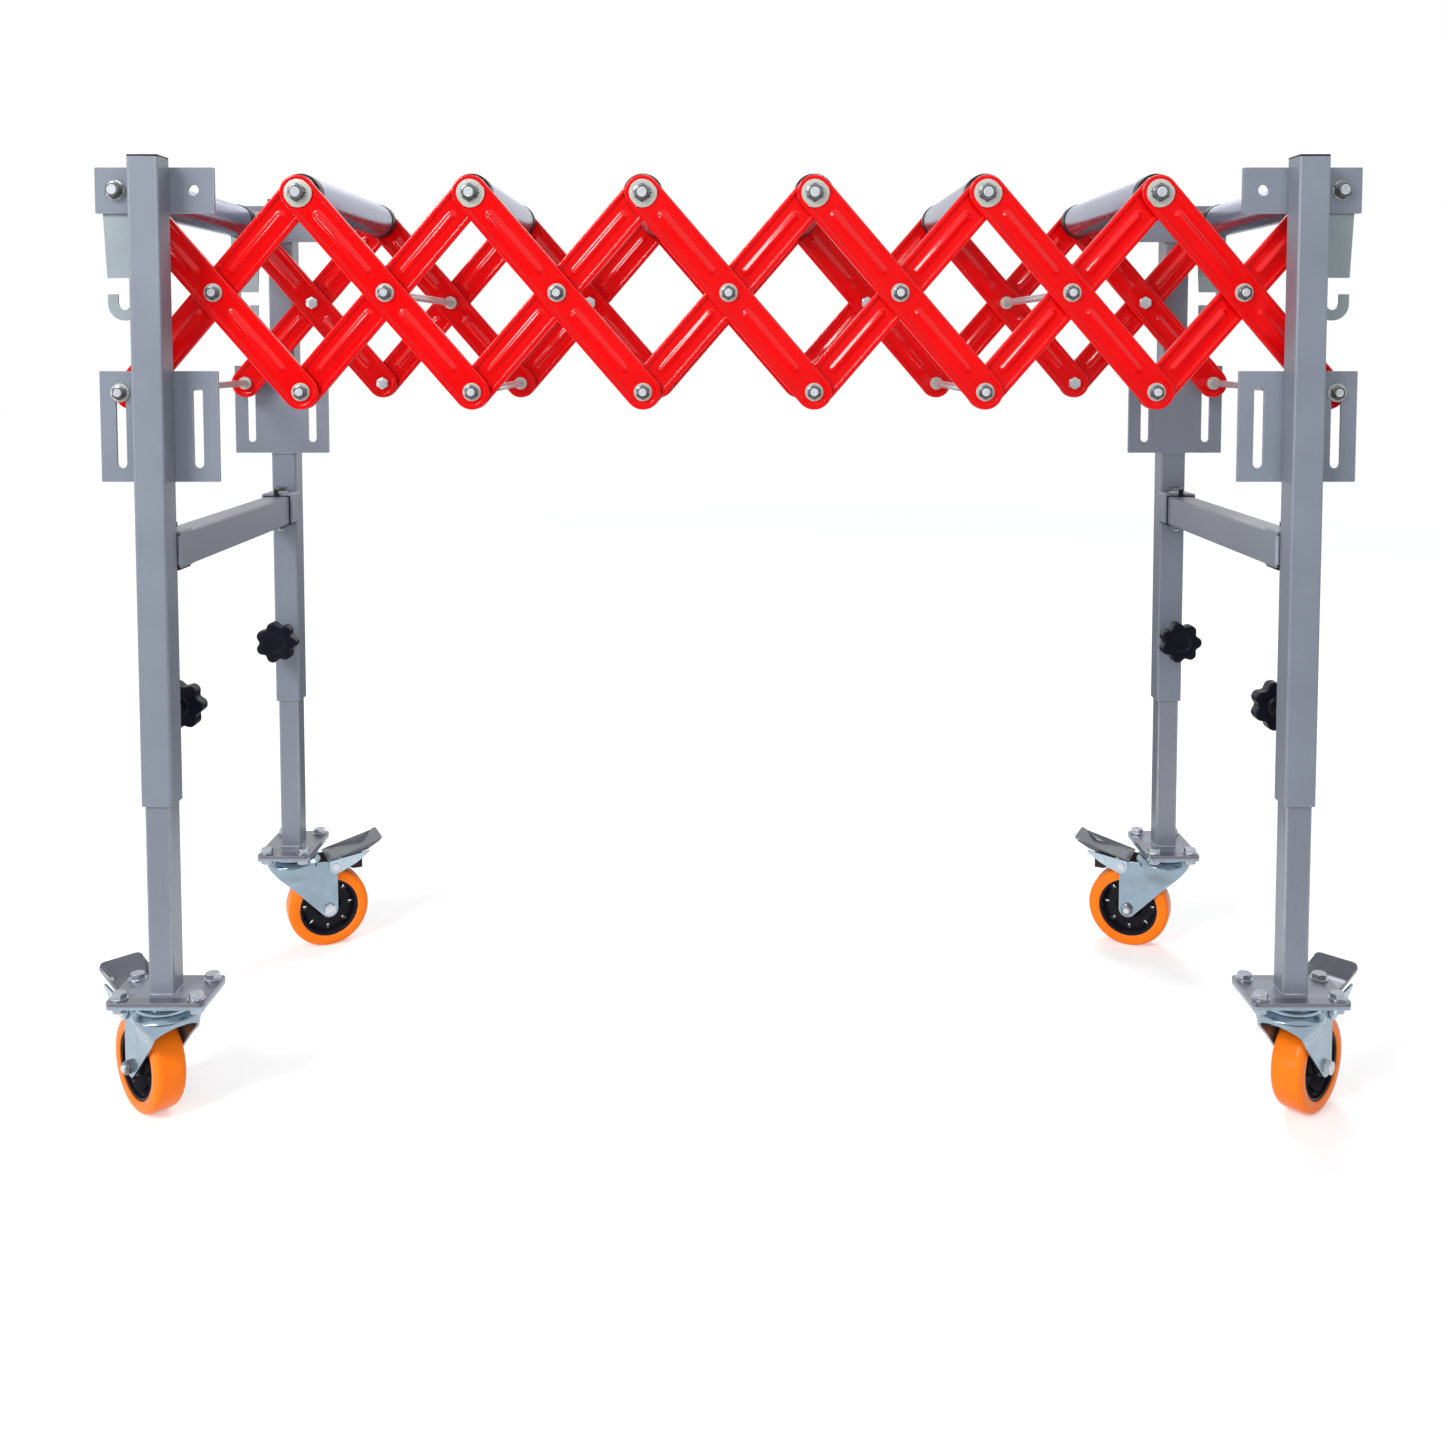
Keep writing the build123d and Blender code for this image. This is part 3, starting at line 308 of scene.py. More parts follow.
leg_paint = finish(
    "grey powder coat", powder_coat, {"Coat Weight": 0.25, "Coat Roughness": 0.3},
    color=leg_grey, edge_color=leg_grey_edge, edge_width=0.0012, mottle=0.05,
    skin_size=0.0016, skin_height=0.00003, roughness=0.42,
)
middle_y = sum(corner.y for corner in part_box("left_crossbar")) / 2
tube_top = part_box("left_upper_legs")[1].z
top_pivot_z = joint_place["top_pivot_1"].z
crossing_z = joint_place["crossing_1"].z
bottom_pivot_z = 2 * crossing_z - top_pivot_z
for end in ("left", "right"):
    dress(f"{end}_upper_legs", [leg_paint])
    seams = bmesh.new()
    saddle_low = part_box(f"{end}_crossbar")[0].z
    saddle_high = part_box(f"{end}_crossbar")[1].z
    for corner in corners:
        if not corner.endswith(end):
            continue
        leg = joint_place[f"{corner}_swivel"]
        side = 1 if leg.y > middle_y else -1
        face_y = leg.y - side * leg_tube / 2
        plate_tops = (tube_top - top_plate_drop, bottom_pivot_z + slot_plate_over_pivot)
        for top, height in zip(plate_tops, (top_plate_height, slot_plate_height)):
            for z in (top, top - height):
                reach = leg_tube * plate_seam_half
                ends = [Vector((leg.x + way * reach, face_y, z)) for way in (-1, 1)]
                weld_bead(seams, *ends, bead_radius)
        for way in (-1, 1):
            x = leg.x + way * (leg_tube / 2 + bead_off_tube)
            ends = [Vector((x, face_y, z)) for z in (saddle_low + bead_start, saddle_high)]
            weld_bead(seams, *ends, bead_radius)
    piece_from(seams, f"{end}_leg_welds", [leg_paint], f"{end}_frame")


# Caps and sleeves. A black moulded cap is pressed into the top of each upper leg, and a black
# moulded sleeve with a small upright tab lines each saddle where the crossbar sits in it.
plastic_black = (0.009, 0.009, 0.012, 1)
# Paler black on moulded edges: edge wear and a painted highlight.
plastic_worn_and_highlit = (0.03, 0.03, 0.035, 1)
mould_mottle_size = 0.03


def moulded(group, given, place, worn_and_highlit):
    """Moulded plastic: an eroded mould grain, slow gloss changes and paler edges, partly wear and
    partly painted highlight.
    """
    colour, rough = mottled(group, given, place, worn_and_highlit, mould_mottle_size, 3.0, 0.06)
    scale = arithmetic(group, "DIVIDE", 1.0, given["Grain Size"])
    grain = add(group, "ShaderNodeTexVoronoi", {"Vector": place, "Scale": scale}).outputs[0]
    return colour, grain, given["Grain Height"], rough


moulded_plastic = finish_group("moulded plastic", {
    "Color": (0.02, 0.02, 0.02, 1), "Edge Color": (0.1, 0.1, 0.1, 1), "Edge Width": 0.001,
    "Grain Size": 0.0008, "Grain Height": 0.00003, "Mottle": 0.06, "Roughness": 0.45,
}, moulded)
black_plastic = finish("black plastic", moulded_plastic, {"Specular IOR Level": 0.25},
                       color=plastic_black, edge_color=plastic_worn_and_highlit, edge_width=0.0006,
                       roughness=0.42)
for end in ("left", "right"):
    dress(f"{end}_plastic_caps", [black_plastic], 0.0004)


# Crossbars. A square steel tube, powder coated like the legs, joins the two legs of each end. It
# lies in their saddles, where an upright bolt at each side holds it.
for end in ("left", "right"):
    dress(f"{end}_crossbar", [leg_paint])


# End axles and crossbar bolts. Zinc plated rods, bolts and lock nuts hold each end frame: a nut has
# a turned collar with a dark nylon insert, and the threaded end of its rod stands out of it.
Nut = namedtuple("Nut", "flats height washer_radius washer_thickness bore")
end_nut = Nut(0.016, 0.0065, 0.0095, 0.002, 0.005)
crossbar_nut = Nut(0.013, 0.0053, 0.009, 0.0016, 0.004)
nut_collar_share = 0.3
spacer_radius = 0.0085
spacer_from_plate = 0.003
rod_end_proud = 0.0016
rod_chamfer = 0.0008
thread_pitch = 0.001
thread_depth = 0.0003
thread_turns = 3
small_gap = 0.0001
crossbar_bolt_from_leg = 0.030
saddle_roof = 0.00365
saddle_floor = 0.001
arm_depth = 0.005
arm_sheet = 0.0025
zinc_nut = (0.16, 0.175, 0.19, 1)
zinc_washer = (0.56, 0.56, 0.50, 1)
zinc_bolt = (0.64, 0.67, 0.70, 1)
zinc_shade = (0.20, 0.22, 0.26, 1)
# Near white for zinc edges: mostly a painted highlight, partly wear.
zinc_worn_and_highlit = (0.95, 0.96, 0.97, 1)
NUT, WASHER, BOLT, INSERT = range(4)


def plated(group, given, place, worn_and_highlit):
    """Zinc plate: clouded tone, fine lines drawn along one way, and a near white edge that is
    painted highlight as well as wear.
    """
    clouds = noise(group, place, given["Cloud Size"], 5.0)
    share = arithmetic(group, "MULTIPLY", spread(group, clouds, 0.0, 1.0), given["Cloud"])
    clouded = blend_colours(group, share, given["Color"], given["Shade"])
    colour = blend_colours(group, arithmetic(group, "MULTIPLY", worn_and_highlit, 0.5), clouded, zinc_worn_and_highlit)
    inputs = {0: place, 1: given["Stretch"]}
    drawn = add(group, "ShaderNodeVectorMath", inputs, operation="MULTIPLY").outputs[0]
    lines = noise(group, drawn, given["Line Size"], 3.0)
    rough = spread(group, lines, *around(group, given["Roughness"], 0.06))
    return colour, lines, given["Line Height"], rough


plated_metal = finish_group("plated metal", {
    "Color": (0.7, 0.7, 0.7, 1), "Shade": (0.4, 0.4, 0.45, 1), "Cloud": 0.3, "Cloud Size": 0.02,
    "Stretch": (1, 1, 1), "Line Size": 0.0006, "Line Height": 0.000004, "Edge Width": 0.0006,
    "Roughness": 0.3,
}, plated)


def zinc(name, colour, roughness, metallic, **changes):
    """A zinc plated finish of one tone."""
    return finish(name, plated_metal, {"Metallic": metallic}, color=colour, shade=zinc_shade,
                  roughness=roughness, **changes)


fastener_finishes = [
    zinc("zinc nuts", zinc_nut, 0.28, 0.8),
    zinc("zinc washers", zinc_washer, 0.36, 0.35, cloud=0.2),
    zinc("zinc bolts", zinc_bolt, 0.25, 0.3, line_height=0.00003),
    finish("lock nut insert", moulded_plastic, {"Specular IOR Level": 0.4},
           color=(0.02, 0.022, 0.03, 1), edge_width=0.0002, roughness=0.5),
]


def rounded_path(corners, steps=4):
    """Points along straight runs whose corners, given as (a, b, radius), are rounded off."""
    points = [Vector(corners[0][:2])]
    for before, corner, after in zip(corners, corners[1:], corners[2:]):
        here = Vector(corner[:2])
        if corner[2] == 0:
            points.append(here)
            continue
        back = (Vector(before[:2]) - here).normalized()
        on = (Vector(after[:2]) - here).normalized()
        turn = math.pi - back.angle(on)
        reach = corner[2] * math.tan(turn / 2)
        start, end = here + back * reach, here + on * reach
        for step in range(steps + 1):
            share = step / steps
            points.append((1 - share)**2 * start + 2 * share * (1 - share) * here + share**2 * end)
    points.append(Vector(corners[-1][:2]))
    return points


def turned(bm, place, profile, finish_index=0, steps=40):
    """Turns a profile of (radius, height) points about the Z axis of a place."""
    rings = [circle(bm, place, radius, height, steps) for radius, height in profile]
    strip(bm, rings, finish_index=finish_index)


def hexagon(bm, place, flats, low, high, bore=0.0, finish_index=NUT):
    """A hexagon between two heights, the corners of its top turned off at thirty degrees."""
    steps = 36
    crown = flats / 2 * 0.95
    rings = [[], [], [], [], []]
    for step in range(steps):
        angle = math.tau * step / steps
        turn = (angle + math.pi / 6) % (math.pi / 3) - math.pi / 6
        corner = flats / 2 / math.cos(turn)
        shoulder = high - (corner - crown) * math.tan(math.pi / 6)
        spots = ((bore, low), (corner, low), (corner, shoulder), (crown, high), (bore, high))
        for ring, (radius, height) in zip(rings, spots):
            point = Vector((radius * math.cos(angle), radius * math.sin(angle), height))
            ring.append(bm.verts.new(place @ point))
    strip(bm, rings, finish_index=finish_index)


def facing(x, y, z, way):
    """A place whose Z axis looks along Y, towards +1 or -1."""
    return Matrix.Translation((x, y, z)) @ Matrix.Rotation(-way * math.pi / 2, 4, "X")


def washer(bm, place, nut):
    """The flat washer of a nut with its punched edges slightly round."""
    top, edge = nut.washer_thickness, nut.washer_thickness * 0.22
    profile = rounded_path([
        (nut.bore, 0, 0), (nut.washer_radius, 0, edge), (nut.washer_radius, top, edge),
        (nut.bore, top, 0),
    ], 3)
    turned(bm, place, profile, WASHER)


def lock_nut(bm, place, nut):
    """A nut from its seat outwards: hexagon, rolled collar and nylon insert."""
    height, bore = nut.height, nut.bore
    body_top = height * (1 - nut_collar_share)
    collar = nut.flats / 2 * 0.93
    insert = bore + (collar - bore) * 0.55
    hexagon(bm, place, nut.flats, 0, body_top, bore)
    turned(bm, place, rounded_path([
        (collar, body_top * 0.98, 0), (collar, height, height * 0.22), (insert, height, 0),
        (insert, height * 0.94, 0),
    ]), NUT)
    turned(bm, place, [(insert, height * 0.95), (bore, height * 0.95)], INSERT)


def fitted_nut(bm, seat, nut):
    """A washer and a lock nut on a seat."""
    washer(bm, seat, nut)
    lock_nut(bm, seat @ Matrix.Translation((0, 0, nut.washer_thickness)), nut)


def past_nut(nut):
    """How far a rod's end lies beyond the seat of its washer and nut."""
    return nut.height + nut.washer_thickness + rod_end_proud


def threaded_rod(bm, place, low, high, radius):
    """A rod with broken ends and the last turns of its rolled threads."""
    half = [(0, 0), (radius - rod_chamfer, 0)]
    for turn in range(thread_turns):
        crest = rod_chamfer + turn * thread_pitch
        half.append((radius, crest))
        half.append((radius - thread_depth, crest + thread_pitch / 2))
    half.append((radius, rod_chamfer + thread_turns * thread_pitch))
    profile = [(r, low + rise) for r, rise in half]
    profile += [(r, high - rise) for r, rise in reversed(half)]
    turned(bm, place, profile, BOLT, 28)


def spacer(bm, place, low, high, radius, bore):
    """A plain turned spacer on a rod, between two faces that it doesn't quite touch."""
    low, high = low + small_gap, high - small_gap
    edge = min(0.0004, (high - low) / 4)
    profile = [(bore, low), (radius - edge, low), (radius, low + edge)]
    profile += [(radius, high - edge), (radius - edge, high), (bore, high)]
    turned(bm, place, profile, WASHER)


def through_rod(bm, x, z, faces, nut, spans, collar_radius):
    """A rod across the conveyor with nuts at both faces and spacers over the given spans."""
    along_y = facing(x, 0, z, 1)
    threaded_rod(bm, along_y, faces[0] - past_nut(nut), faces[1] + past_nut(nut), nut.bore)
    for way, y in zip((-1, 1), faces):
        fitted_nut(bm, facing(x, y, z, way), nut)
    for low, high in spans:
        spacer(bm, along_y, low, high, collar_radius, nut.bore)


def pivot_x(index):
    """X of a top or bottom pivot, counted from the left end."""
    bay = 2 * (joint_place["top_pivot_1"].x - joint_place["crossing_1"].x)
    return joint_place["top_pivot_1"].x + bay * (index - 1)


for end in ("left", "right"):
    bolts = bmesh.new()
    low_corner, high_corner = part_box(f"{end}_frame_bolts")
    leg_face = (high_corner.y - low_corner.y) / 2 - past_nut(end_nut)
    spacer_end = leg_face - plate_sheet - spacer_from_plate
    arm_low, arm_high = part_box("falling_arms_1" if end == "left" else f"rising_arms_{bay_count}")
    roller_low, roller_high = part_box("roller_1")
    spans = (
        (middle_y - spacer_end, arm_low.y + arm_depth - arm_sheet),
        (arm_low.y + arm_depth, roller_low.y), (roller_high.y, arm_high.y - arm_sheet),
        (arm_high.y, middle_y + spacer_end),
    )
    through_rod(bolts, pivot_x(0 if end == "left" else bay_count), top_pivot_z,
                (middle_y - leg_face, middle_y + leg_face), end_nut, spans, spacer_radius)
    bar_low, bar_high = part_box(f"{end}_crossbar")
    bar_x = (bar_low.x + bar_high.x) / 2
    roof, floor = bar_high.z + saddle_roof, bar_low.z - saddle_floor
    for side in (-1, 1):
        y = middle_y + side * (leg_face - crossbar_bolt_from_leg / 2)
        head = Matrix.Translation((bar_x, y, roof))
        washer(bolts, head, crossbar_nut)
        head_low = crossbar_nut.washer_thickness
        hexagon(bolts, head, crossbar_nut.flats, head_low, head_low + crossbar_nut.height)
        foot = Matrix.Translation((bar_x, y, floor)) @ Matrix.Rotation(math.pi, 4, "X")
        fitted_nut(bolts, foot, crossbar_nut)
        threaded_rod(bolts, foot, bar_low.z - roof - head_low, past_nut(crossbar_nut),
                     crossbar_nut.bore)
    piece_from(bolts, f"{end}_end_axle_and_bolts", fastener_finishes, f"{end}_frame",
               [f"{end}_frame_bolts"])


# Coupling hooks. Two hooks of cut and plated sheet hang on each end axle behind the top plates, so
# that a second conveyor can be joined on. Their zinc has a pale greenish cast.
hook_zinc = zinc("zinc sheet hooks", (0.30, 0.355, 0.375, 1), 0.42, 0.4, cloud=0.25,
                 cloud_size=0.03, line_size=0.001)
for end in ("left", "right"):
    dress(f"{end}_coupling_hooks", [hook_zinc], 0.0004)


# Rollers. Each is a zinc plated steel tube with a moulded black cap pressed over either end; the
# cap's hub holds the bearing that turns on the axle.
roller_radius = 0.019
roller_wall = 0.0015
cap_length = 0.016
cap_proud = 0.0008
cap_bore = 0.0052
tube_end_in_cap = 0.003
roller_zinc = zinc("zinc roller tube", (0.31, 0.33, 0.44, 1), 0.26, 0.9, cloud=0.15,
                   cloud_size=0.05, stretch=(0.08, 1, 0.08), line_size=0.0008,
                   line_height=0.0000005)


def roller_cap(bm, place):
    """A cap from its skirt's open end outwards, with a stepped face round the bearing."""
    skirt = roller_radius + cap_proud
    turned(bm, place, rounded_path([
        (roller_radius, 0, 0), (skirt, 0, 0.0004), (skirt, cap_length, 0.0012),
        (0.0158, cap_length, 0.0003), (0.0150, cap_length - 0.0016, 0.0003),
        (0.0118, cap_length - 0.0016, 0.0003), (0.0112, cap_length, 0.0003),
        (0.0070, cap_length, 0.0002), (0.0066, cap_length - 0.001, 0.0002),
        (cap_bore, cap_length - 0.001, 0), (cap_bore, cap_length - 0.012, 0),
        (roller_radius - roller_wall, cap_length - 0.012, 0), (roller_radius, 0, 0),
    ], 3), 0, 56)


for index in range(bay_count + 1):
    body = f"roller_{index + 1}"
    low_corner, high_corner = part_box(body)
    middle = (low_corner + high_corner) / 2
    half_length = (high_corner.y - low_corner.y) / 2
    tube = bmesh.new()
    wall_end = half_length - tube_end_in_cap
    turned(tube, facing(*middle, 1), [
        (roller_radius - roller_wall, -wall_end), (roller_radius, -wall_end),
        (roller_radius, wall_end), (roller_radius - roller_wall, wall_end),
        (roller_radius - roller_wall, -wall_end),
    ], 0, 72)
    piece_from(tube, f"{body}_tube", [roller_zinc], body, [body])
    caps = bmesh.new()
    for way in (-1, 1):
        start = middle.y + way * (half_length - cap_length)
        roller_cap(caps, facing(middle.x, start, middle.z, way))
    piece_from(caps, f"{body}_caps", [black_plastic], body)


# Lattice arms. Each is pressed from steel sheet, with a rolled rim all round and raised ribs
# between the pivots, and powder coated red. Two layers cross on each side, falling arms in front.
arm_red = (0.68, 0.0005, 0.0015, 1)
# Paler red on the arms' edges: edge wear and a painted highlight.
arm_red_edge = (0.85, 0.02, 0.02, 1)
arm_width = 0.035
rim_width = 0.0044
rim_roll = 0.0018
rim_corner = 0.0008
rim_foot = 0.0012
rib_half_width = 0.0058
rib_rise = 0.0023
rib_from_crossing = 0.022
rib_from_pivot = 0.024
groove_depth = 0.0012
rib_steps = 5
arm_end_steps = 16
pivot_reach = (joint_place["top_pivot_1"] - joint_place["crossing_1"]).length
arm_lean = math.atan2(pivot_x(0.5) - pivot_x(0), top_pivot_z - crossing_z)
arm_angle = math.pi / 2 - arm_lean


def rib_share(along, across):
    """One on the crest of a rib, falling to zero at its foot."""
    start = rib_from_crossing + rib_half_width
    end = pivot_reach - rib_from_pivot - rib_half_width
    beyond = max(start - abs(along), abs(along) - end, 0)
    away = min(1, math.hypot(beyond, across) / rib_half_width)
    return 0.5 + 0.5 * math.cos(math.pi * away)


def arm_section(along):
    """Half of the arm's section from its middle line out over the rim and back behind."""
    half = arm_width / 2
    steps = [rib_half_width * step / rib_steps for step in range(rib_steps + 1)]
    front = [(v, arm_sheet + rib_rise * rib_share(along, v)) for v in steps]
    rim = rounded_path([
        (half - rim_width - 0.003, arm_sheet, 0), (half - rim_width, arm_sheet, rim_foot),
        (half - rim_width, arm_depth, rim_corner), (half, arm_depth, rim_roll),
        (half, 0, rim_corner), (half - 0.003, 0, 0),
    ])
    back = [(v, groove_depth * rib_share(along, v)) for v in reversed(steps)]
    return front + [tuple(point) for point in rim] + back


def arm_mesh():
    """The whole arm along X, its back on the XZ plane and its rim towards -Y."""
    bm = bmesh.new()
    ramp = [rib_half_width * step / rib_steps for step in range(rib_steps + 1)]
    start, end = rib_from_crossing, pivot_reach - rib_from_pivot
    stations = [0] + [start + rise for rise in ramp] + [end - rise for rise in reversed(ramp)]
    stations += [pivot_reach]
    stations = [-station for station in reversed(stations)] + stations[1:]
    turns = [math.pi * step / arm_end_steps for step in range(arm_end_steps + 1)]
    for way in (-1, 1):
        strip(bm, [[bm.verts.new((along, -depth, way * v)) for v, depth in arm_section(along)]
                   for along in stations], closed=False)
        rings = []
        for turn in turns:
            spots = [(way * (pivot_reach + v * math.sin(turn)), -depth, v * math.cos(turn))
                     for v, depth in arm_section(pivot_reach)]
            rings.append([bm.verts.new(spot) for spot in spots])
        strip(bm, rings, closed=False)
    return bm


arm_paint = finish(
    "red powder coat", powder_coat,
    {"Coat Weight": 0.75, "Coat Roughness": 0.07, "Specular IOR Level": 0.05},
    color=arm_red, edge_color=arm_red_edge, edge_width=0.0008, mottle=0.05, mottle_size=0.05,
    skin_size=0.0018, skin_height=0.000005, roughness=0.34,
)
arm_piece = piece_from(arm_mesh(), "falling_arm_1_near", [arm_paint], "falling_1")
for lean, turn in (("falling", arm_angle), ("rising", -arm_angle)):
    for bay in range(1, bay_count + 1):
        node = f"{lean}_arms_{bay}"
        low_corner, high_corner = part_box(node)
        crossing = joint_place[f"crossing_{bay}"]
        for side, back_y in (("near", low_corner.y + arm_depth), ("far", high_corner.y)):
            name = f"{lean}_arm_{bay}_{side}"
            piece = arm_piece if name == arm_piece.name else place_object(name, arm_piece.data)
            piece.parent = None
            place = Matrix.Translation((crossing.x, back_y, crossing.z))
            piece.matrix_world = place @ Matrix.Rotation(turn, 4, "Y")
            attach(piece, f"{lean}_{bay}")
            if side == "near":
                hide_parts(node)


# Pivots of the lattice. Zinc plated roller axles run through the inner top pivots, with a large
# washer and a lock nut outside each side. Crossings and bottom pivots have short bolts, and some a
# tie rod right across.
pin_nut = Nut(0.013, 0.005, 0.009, 0.0015, 0.004)
axle_nut = end_nut._replace(washer_radius=0.0145)
pin_head_height = 0.0045
tie_collar_radius = 0.0075
tie_collar_length = 0.006
slot_pin_far = 0.0001
falling_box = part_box("falling_arms_1")
rising_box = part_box("rising_arms_1")
near_face = falling_box[0].y + arm_depth - arm_sheet - small_gap
near_gap = (falling_box[0].y + arm_depth, rising_box[0].y + arm_depth - arm_sheet)
near_inside = rising_box[0].y + arm_depth
far_inside = falling_box[1].y - arm_sheet
far_gap = (falling_box[1].y, rising_box[1].y - arm_sheet)
far_face = rising_box[1].y + small_gap


def tie_rod(bm, x, z):
    """A tie rod through both sides of the lattice."""
    near_collar = (near_inside, near_inside + tie_collar_length)
    far_collar = (far_inside - tie_collar_length, far_inside)
    spans = (near_gap, far_gap, near_collar, far_collar)
    through_rod(bm, x, z, (near_face, far_face), pin_nut, spans, tie_collar_radius)


def short_bolts(bm, x, z):
    """A short bolt through each side, its head inside and its nut outside."""
    for way, face, inner, gap in (
        (-1, near_face, near_inside + small_gap, near_gap),
        (1, far_face, far_inside - small_gap, far_gap),
    ):
        place = facing(x, face, z, way)
        head = -abs(face - inner) - pin_head_height / 2
        threaded_rod(bm, place, head, past_nut(pin_nut), pin_nut.bore)
        fitted_nut(bm, place, pin_nut)
        hexagon(bm, facing(x, inner, z, -way), pin_nut.flats, 0, pin_head_height, finish_index=BOLT)
        spacer(bm, facing(x, 0, z, 1), *gap, spacer_radius, pin_nut.bore)


def slot_pin(bm, x, arms):
    """The rod that joins the lowest arms of an end and slides in the slots of its legs."""
    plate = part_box("left_frame_bolts")[1].y - middle_y - past_nut(end_nut)
    near_back = arms[0].y + arm_depth
    far_back = arms[1].y
    spans = (
        (middle_y - plate + plate_sheet, near_back - arm_sheet),
        (near_back, near_back + tie_collar_length),
        (far_back - arm_sheet - tie_collar_length, far_back - arm_sheet),
        (far_back, middle_y + plate - plate_sheet),
    )
    faces = (middle_y - plate - slot_pin_far, middle_y + plate + slot_pin_far)
    through_rod(bm, x, bottom_pivot_z, faces, pin_nut, spans, tie_collar_radius)


tie_rod_crossings = (1, bay_count // 2, bay_count - 2)
tie_rod_bottoms = (2, bay_count - 2)
for bay in range(bay_count):
    pins = bmesh.new()
    build = tie_rod if bay in tie_rod_crossings else short_bolts
    build(pins, joint_place[f"crossing_{bay + 1}"].x, crossing_z)
    if bay > 0:
        roller_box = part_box("roller_1")
        spans = (near_gap, far_gap, (near_inside, roller_box[0].y), (roller_box[1].y, far_inside))
        through_rod(pins, pivot_x(bay), top_pivot_z, (near_face, far_face), axle_nut, spans,
                    spacer_radius)
    lower = bay + 1
    if lower == bay_count:
        slot_pin(pins, pivot_x(lower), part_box(f"falling_arms_{bay_count}"))
    else:
        build = tie_rod if lower in tie_rod_bottoms else short_bolts
        build(pins, pivot_x(lower), bottom_pivot_z)
    piece_from(pins, f"pivot_hardware_{bay + 1}", fastener_finishes, f"falling_{bay + 1}",
               [f"pivot_pins_{bay + 1}"])
pins = bmesh.new()
slot_pin(pins, pivot_x(0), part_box("rising_arms_1"))
piece_from(pins, "left_slot_rod", fastener_finishes, "rising_1", ["left_slot_pin"])


# Lower legs. A zinc plated square tube slides in each upper leg. Its foot is welded to a dark plate
# that four bolts hold to the caster's own plate and ball race.
tube_zinc = zinc("zinc leg tube", (0.235, 0.255, 0.305, 1), 0.33, 0.25, cloud=0.12, cloud_size=0.1,
                 stretch=(1, 1, 0.03), line_size=0.0012, line_height=0.000006, edge_width=0.0025)
plate_steel = zinc("dark base plate", (0.20, 0.20, 0.235, 1), 0.3, 0.75, cloud=0.35,
                   cloud_size=0.02, line_height=0.00001)
caster_zinc = zinc("zinc caster sheet", (0.30, 0.40, 0.48, 1), 0.2, 0.85, cloud=0.4,
                   cloud_size=0.02, line_size=0.014, line_height=0.0004)
bolt_dark = zinc("zinc plate bolts", (0.40, 0.43, 0.48, 1), 0.18, 0.9, edge_width=0.001)
base_plate_top = 0.135
base_plate_low = 0.131
lower_tube = 0.025
base_bolt_spacing = (0.075, 0.045)
base_bolt_reach = 0.0088
foot_bead = 0.0008
foot_seam_half = 0.85
TUBE, PLATE, CASTER, BASE_BOLT = range(4)
for corner in corners:
    leg = joint_place[f"{corner}_swivel"]
    rear = leg.y > middle_y
    spacing = Vector(base_bolt_spacing[::-1] if rear else base_bolt_spacing) / 2

    def leg_finish(centre):
        """Which part of the lower leg a face belongs to."""
        away = centre - leg
        from_bolt = (Vector((abs(away.x), abs(away.y))) - spacing).length
        if max(abs(away.x), abs(away.y)) < lower_tube / 2 + small_gap and centre.z > base_plate_top:
            return TUBE
        if from_bolt < base_bolt_reach and not base_plate_low < centre.z < base_plate_top:
            return BASE_BOLT if abs(centre.z - base_plate_top) > small_gap / 10 else PLATE
        return PLATE if centre.z > base_plate_low + small_gap / 10 else CASTER

    finishes = [tube_zinc, plate_steel, caster_zinc, bolt_dark]
    dress(f"{corner}_lower_leg", finishes, 0.0004, leg_finish)
    seams = bmesh.new()
    reach = lower_tube / 2 + foot_bead * 0.3
    for way in (-1, 1):
        spots = [(way, half * foot_seam_half) for half in (-1, 1)]
        for seam in (spots, [spot[::-1] for spot in spots]):
            ends = [Vector((leg.x + x * reach, leg.y + y * reach, base_plate_top)) for x, y in seam]
            weld_bead(seams, *ends, foot_bead)
    piece_from(seams, f"{corner}_foot_welds", [tube_zinc], f"{corner}_lower_leg")


# Height knobs. A black seven-lobed hand knob with a moulded collar clamps each lower leg; its zinc
# plated stud screws through the nut on the upper leg.
knob_radius = 0.025
knob_lobes = 7
knob_lobe_depth_share = 0.19
knob_collar_radius = 0.009
knob_collar_start = 0.014
knob_head_start = 0.031
knob_head_end = 0.047
stud_radius = 0.004
stud_tip = -0.004


def knob_head(bm, place):
    """The knob from its collar outwards; its lobes grow from the neck and fade on the face."""
    rim = 0.0026
    collar = rounded_path([
        (knob_collar_radius * 0.5, knob_collar_start, 0),
        (knob_collar_radius, knob_collar_start, 0.001),
        (knob_collar_radius, knob_head_start - 0.001, 0),
    ])
    face = rounded_path([
        (knob_radius * 0.7, knob_head_start, 0), (knob_radius, knob_head_start, rim * 0.7),
        (knob_radius, knob_head_end, rim), (knob_radius * 0.6, knob_head_end + 0.0003, 0),
    ], 5)
    levels = [(knob_collar_radius * 0.45, knob_collar_start, 0)]
    levels += [(radius, height, 0) for radius, height in collar]
    levels += [(knob_collar_radius * 1.25, knob_head_start + 0.0004, 0.1)]
    levels += [(radius, height, 1) for radius, height in face]
    levels += [
        (knob_radius * 0.46, knob_head_end, 0.25), (knob_radius * 0.40, knob_head_end - 0.0012, 0),
        (knob_radius * 0.2, knob_head_end - 0.0016, 0), (0, knob_head_end - 0.0017, 0),
    ]
    rings = []
    steps = knob_lobes * 18
    for radius, height, lobed in levels:
        ring = []
        for step in range(steps if radius > 0 else 1):
            angle = math.tau * step / steps
            dip = (0.5 - 0.5 * math.cos(knob_lobes * angle)) ** 1.5
            reach = radius * (1 - lobed * knob_lobe_depth_share * dip)
            point = Vector((reach * math.cos(angle), reach * math.sin(angle), height))
            ring.append(bm.verts.new(place @ point))
        rings.append(ring)
    strip(bm, rings)


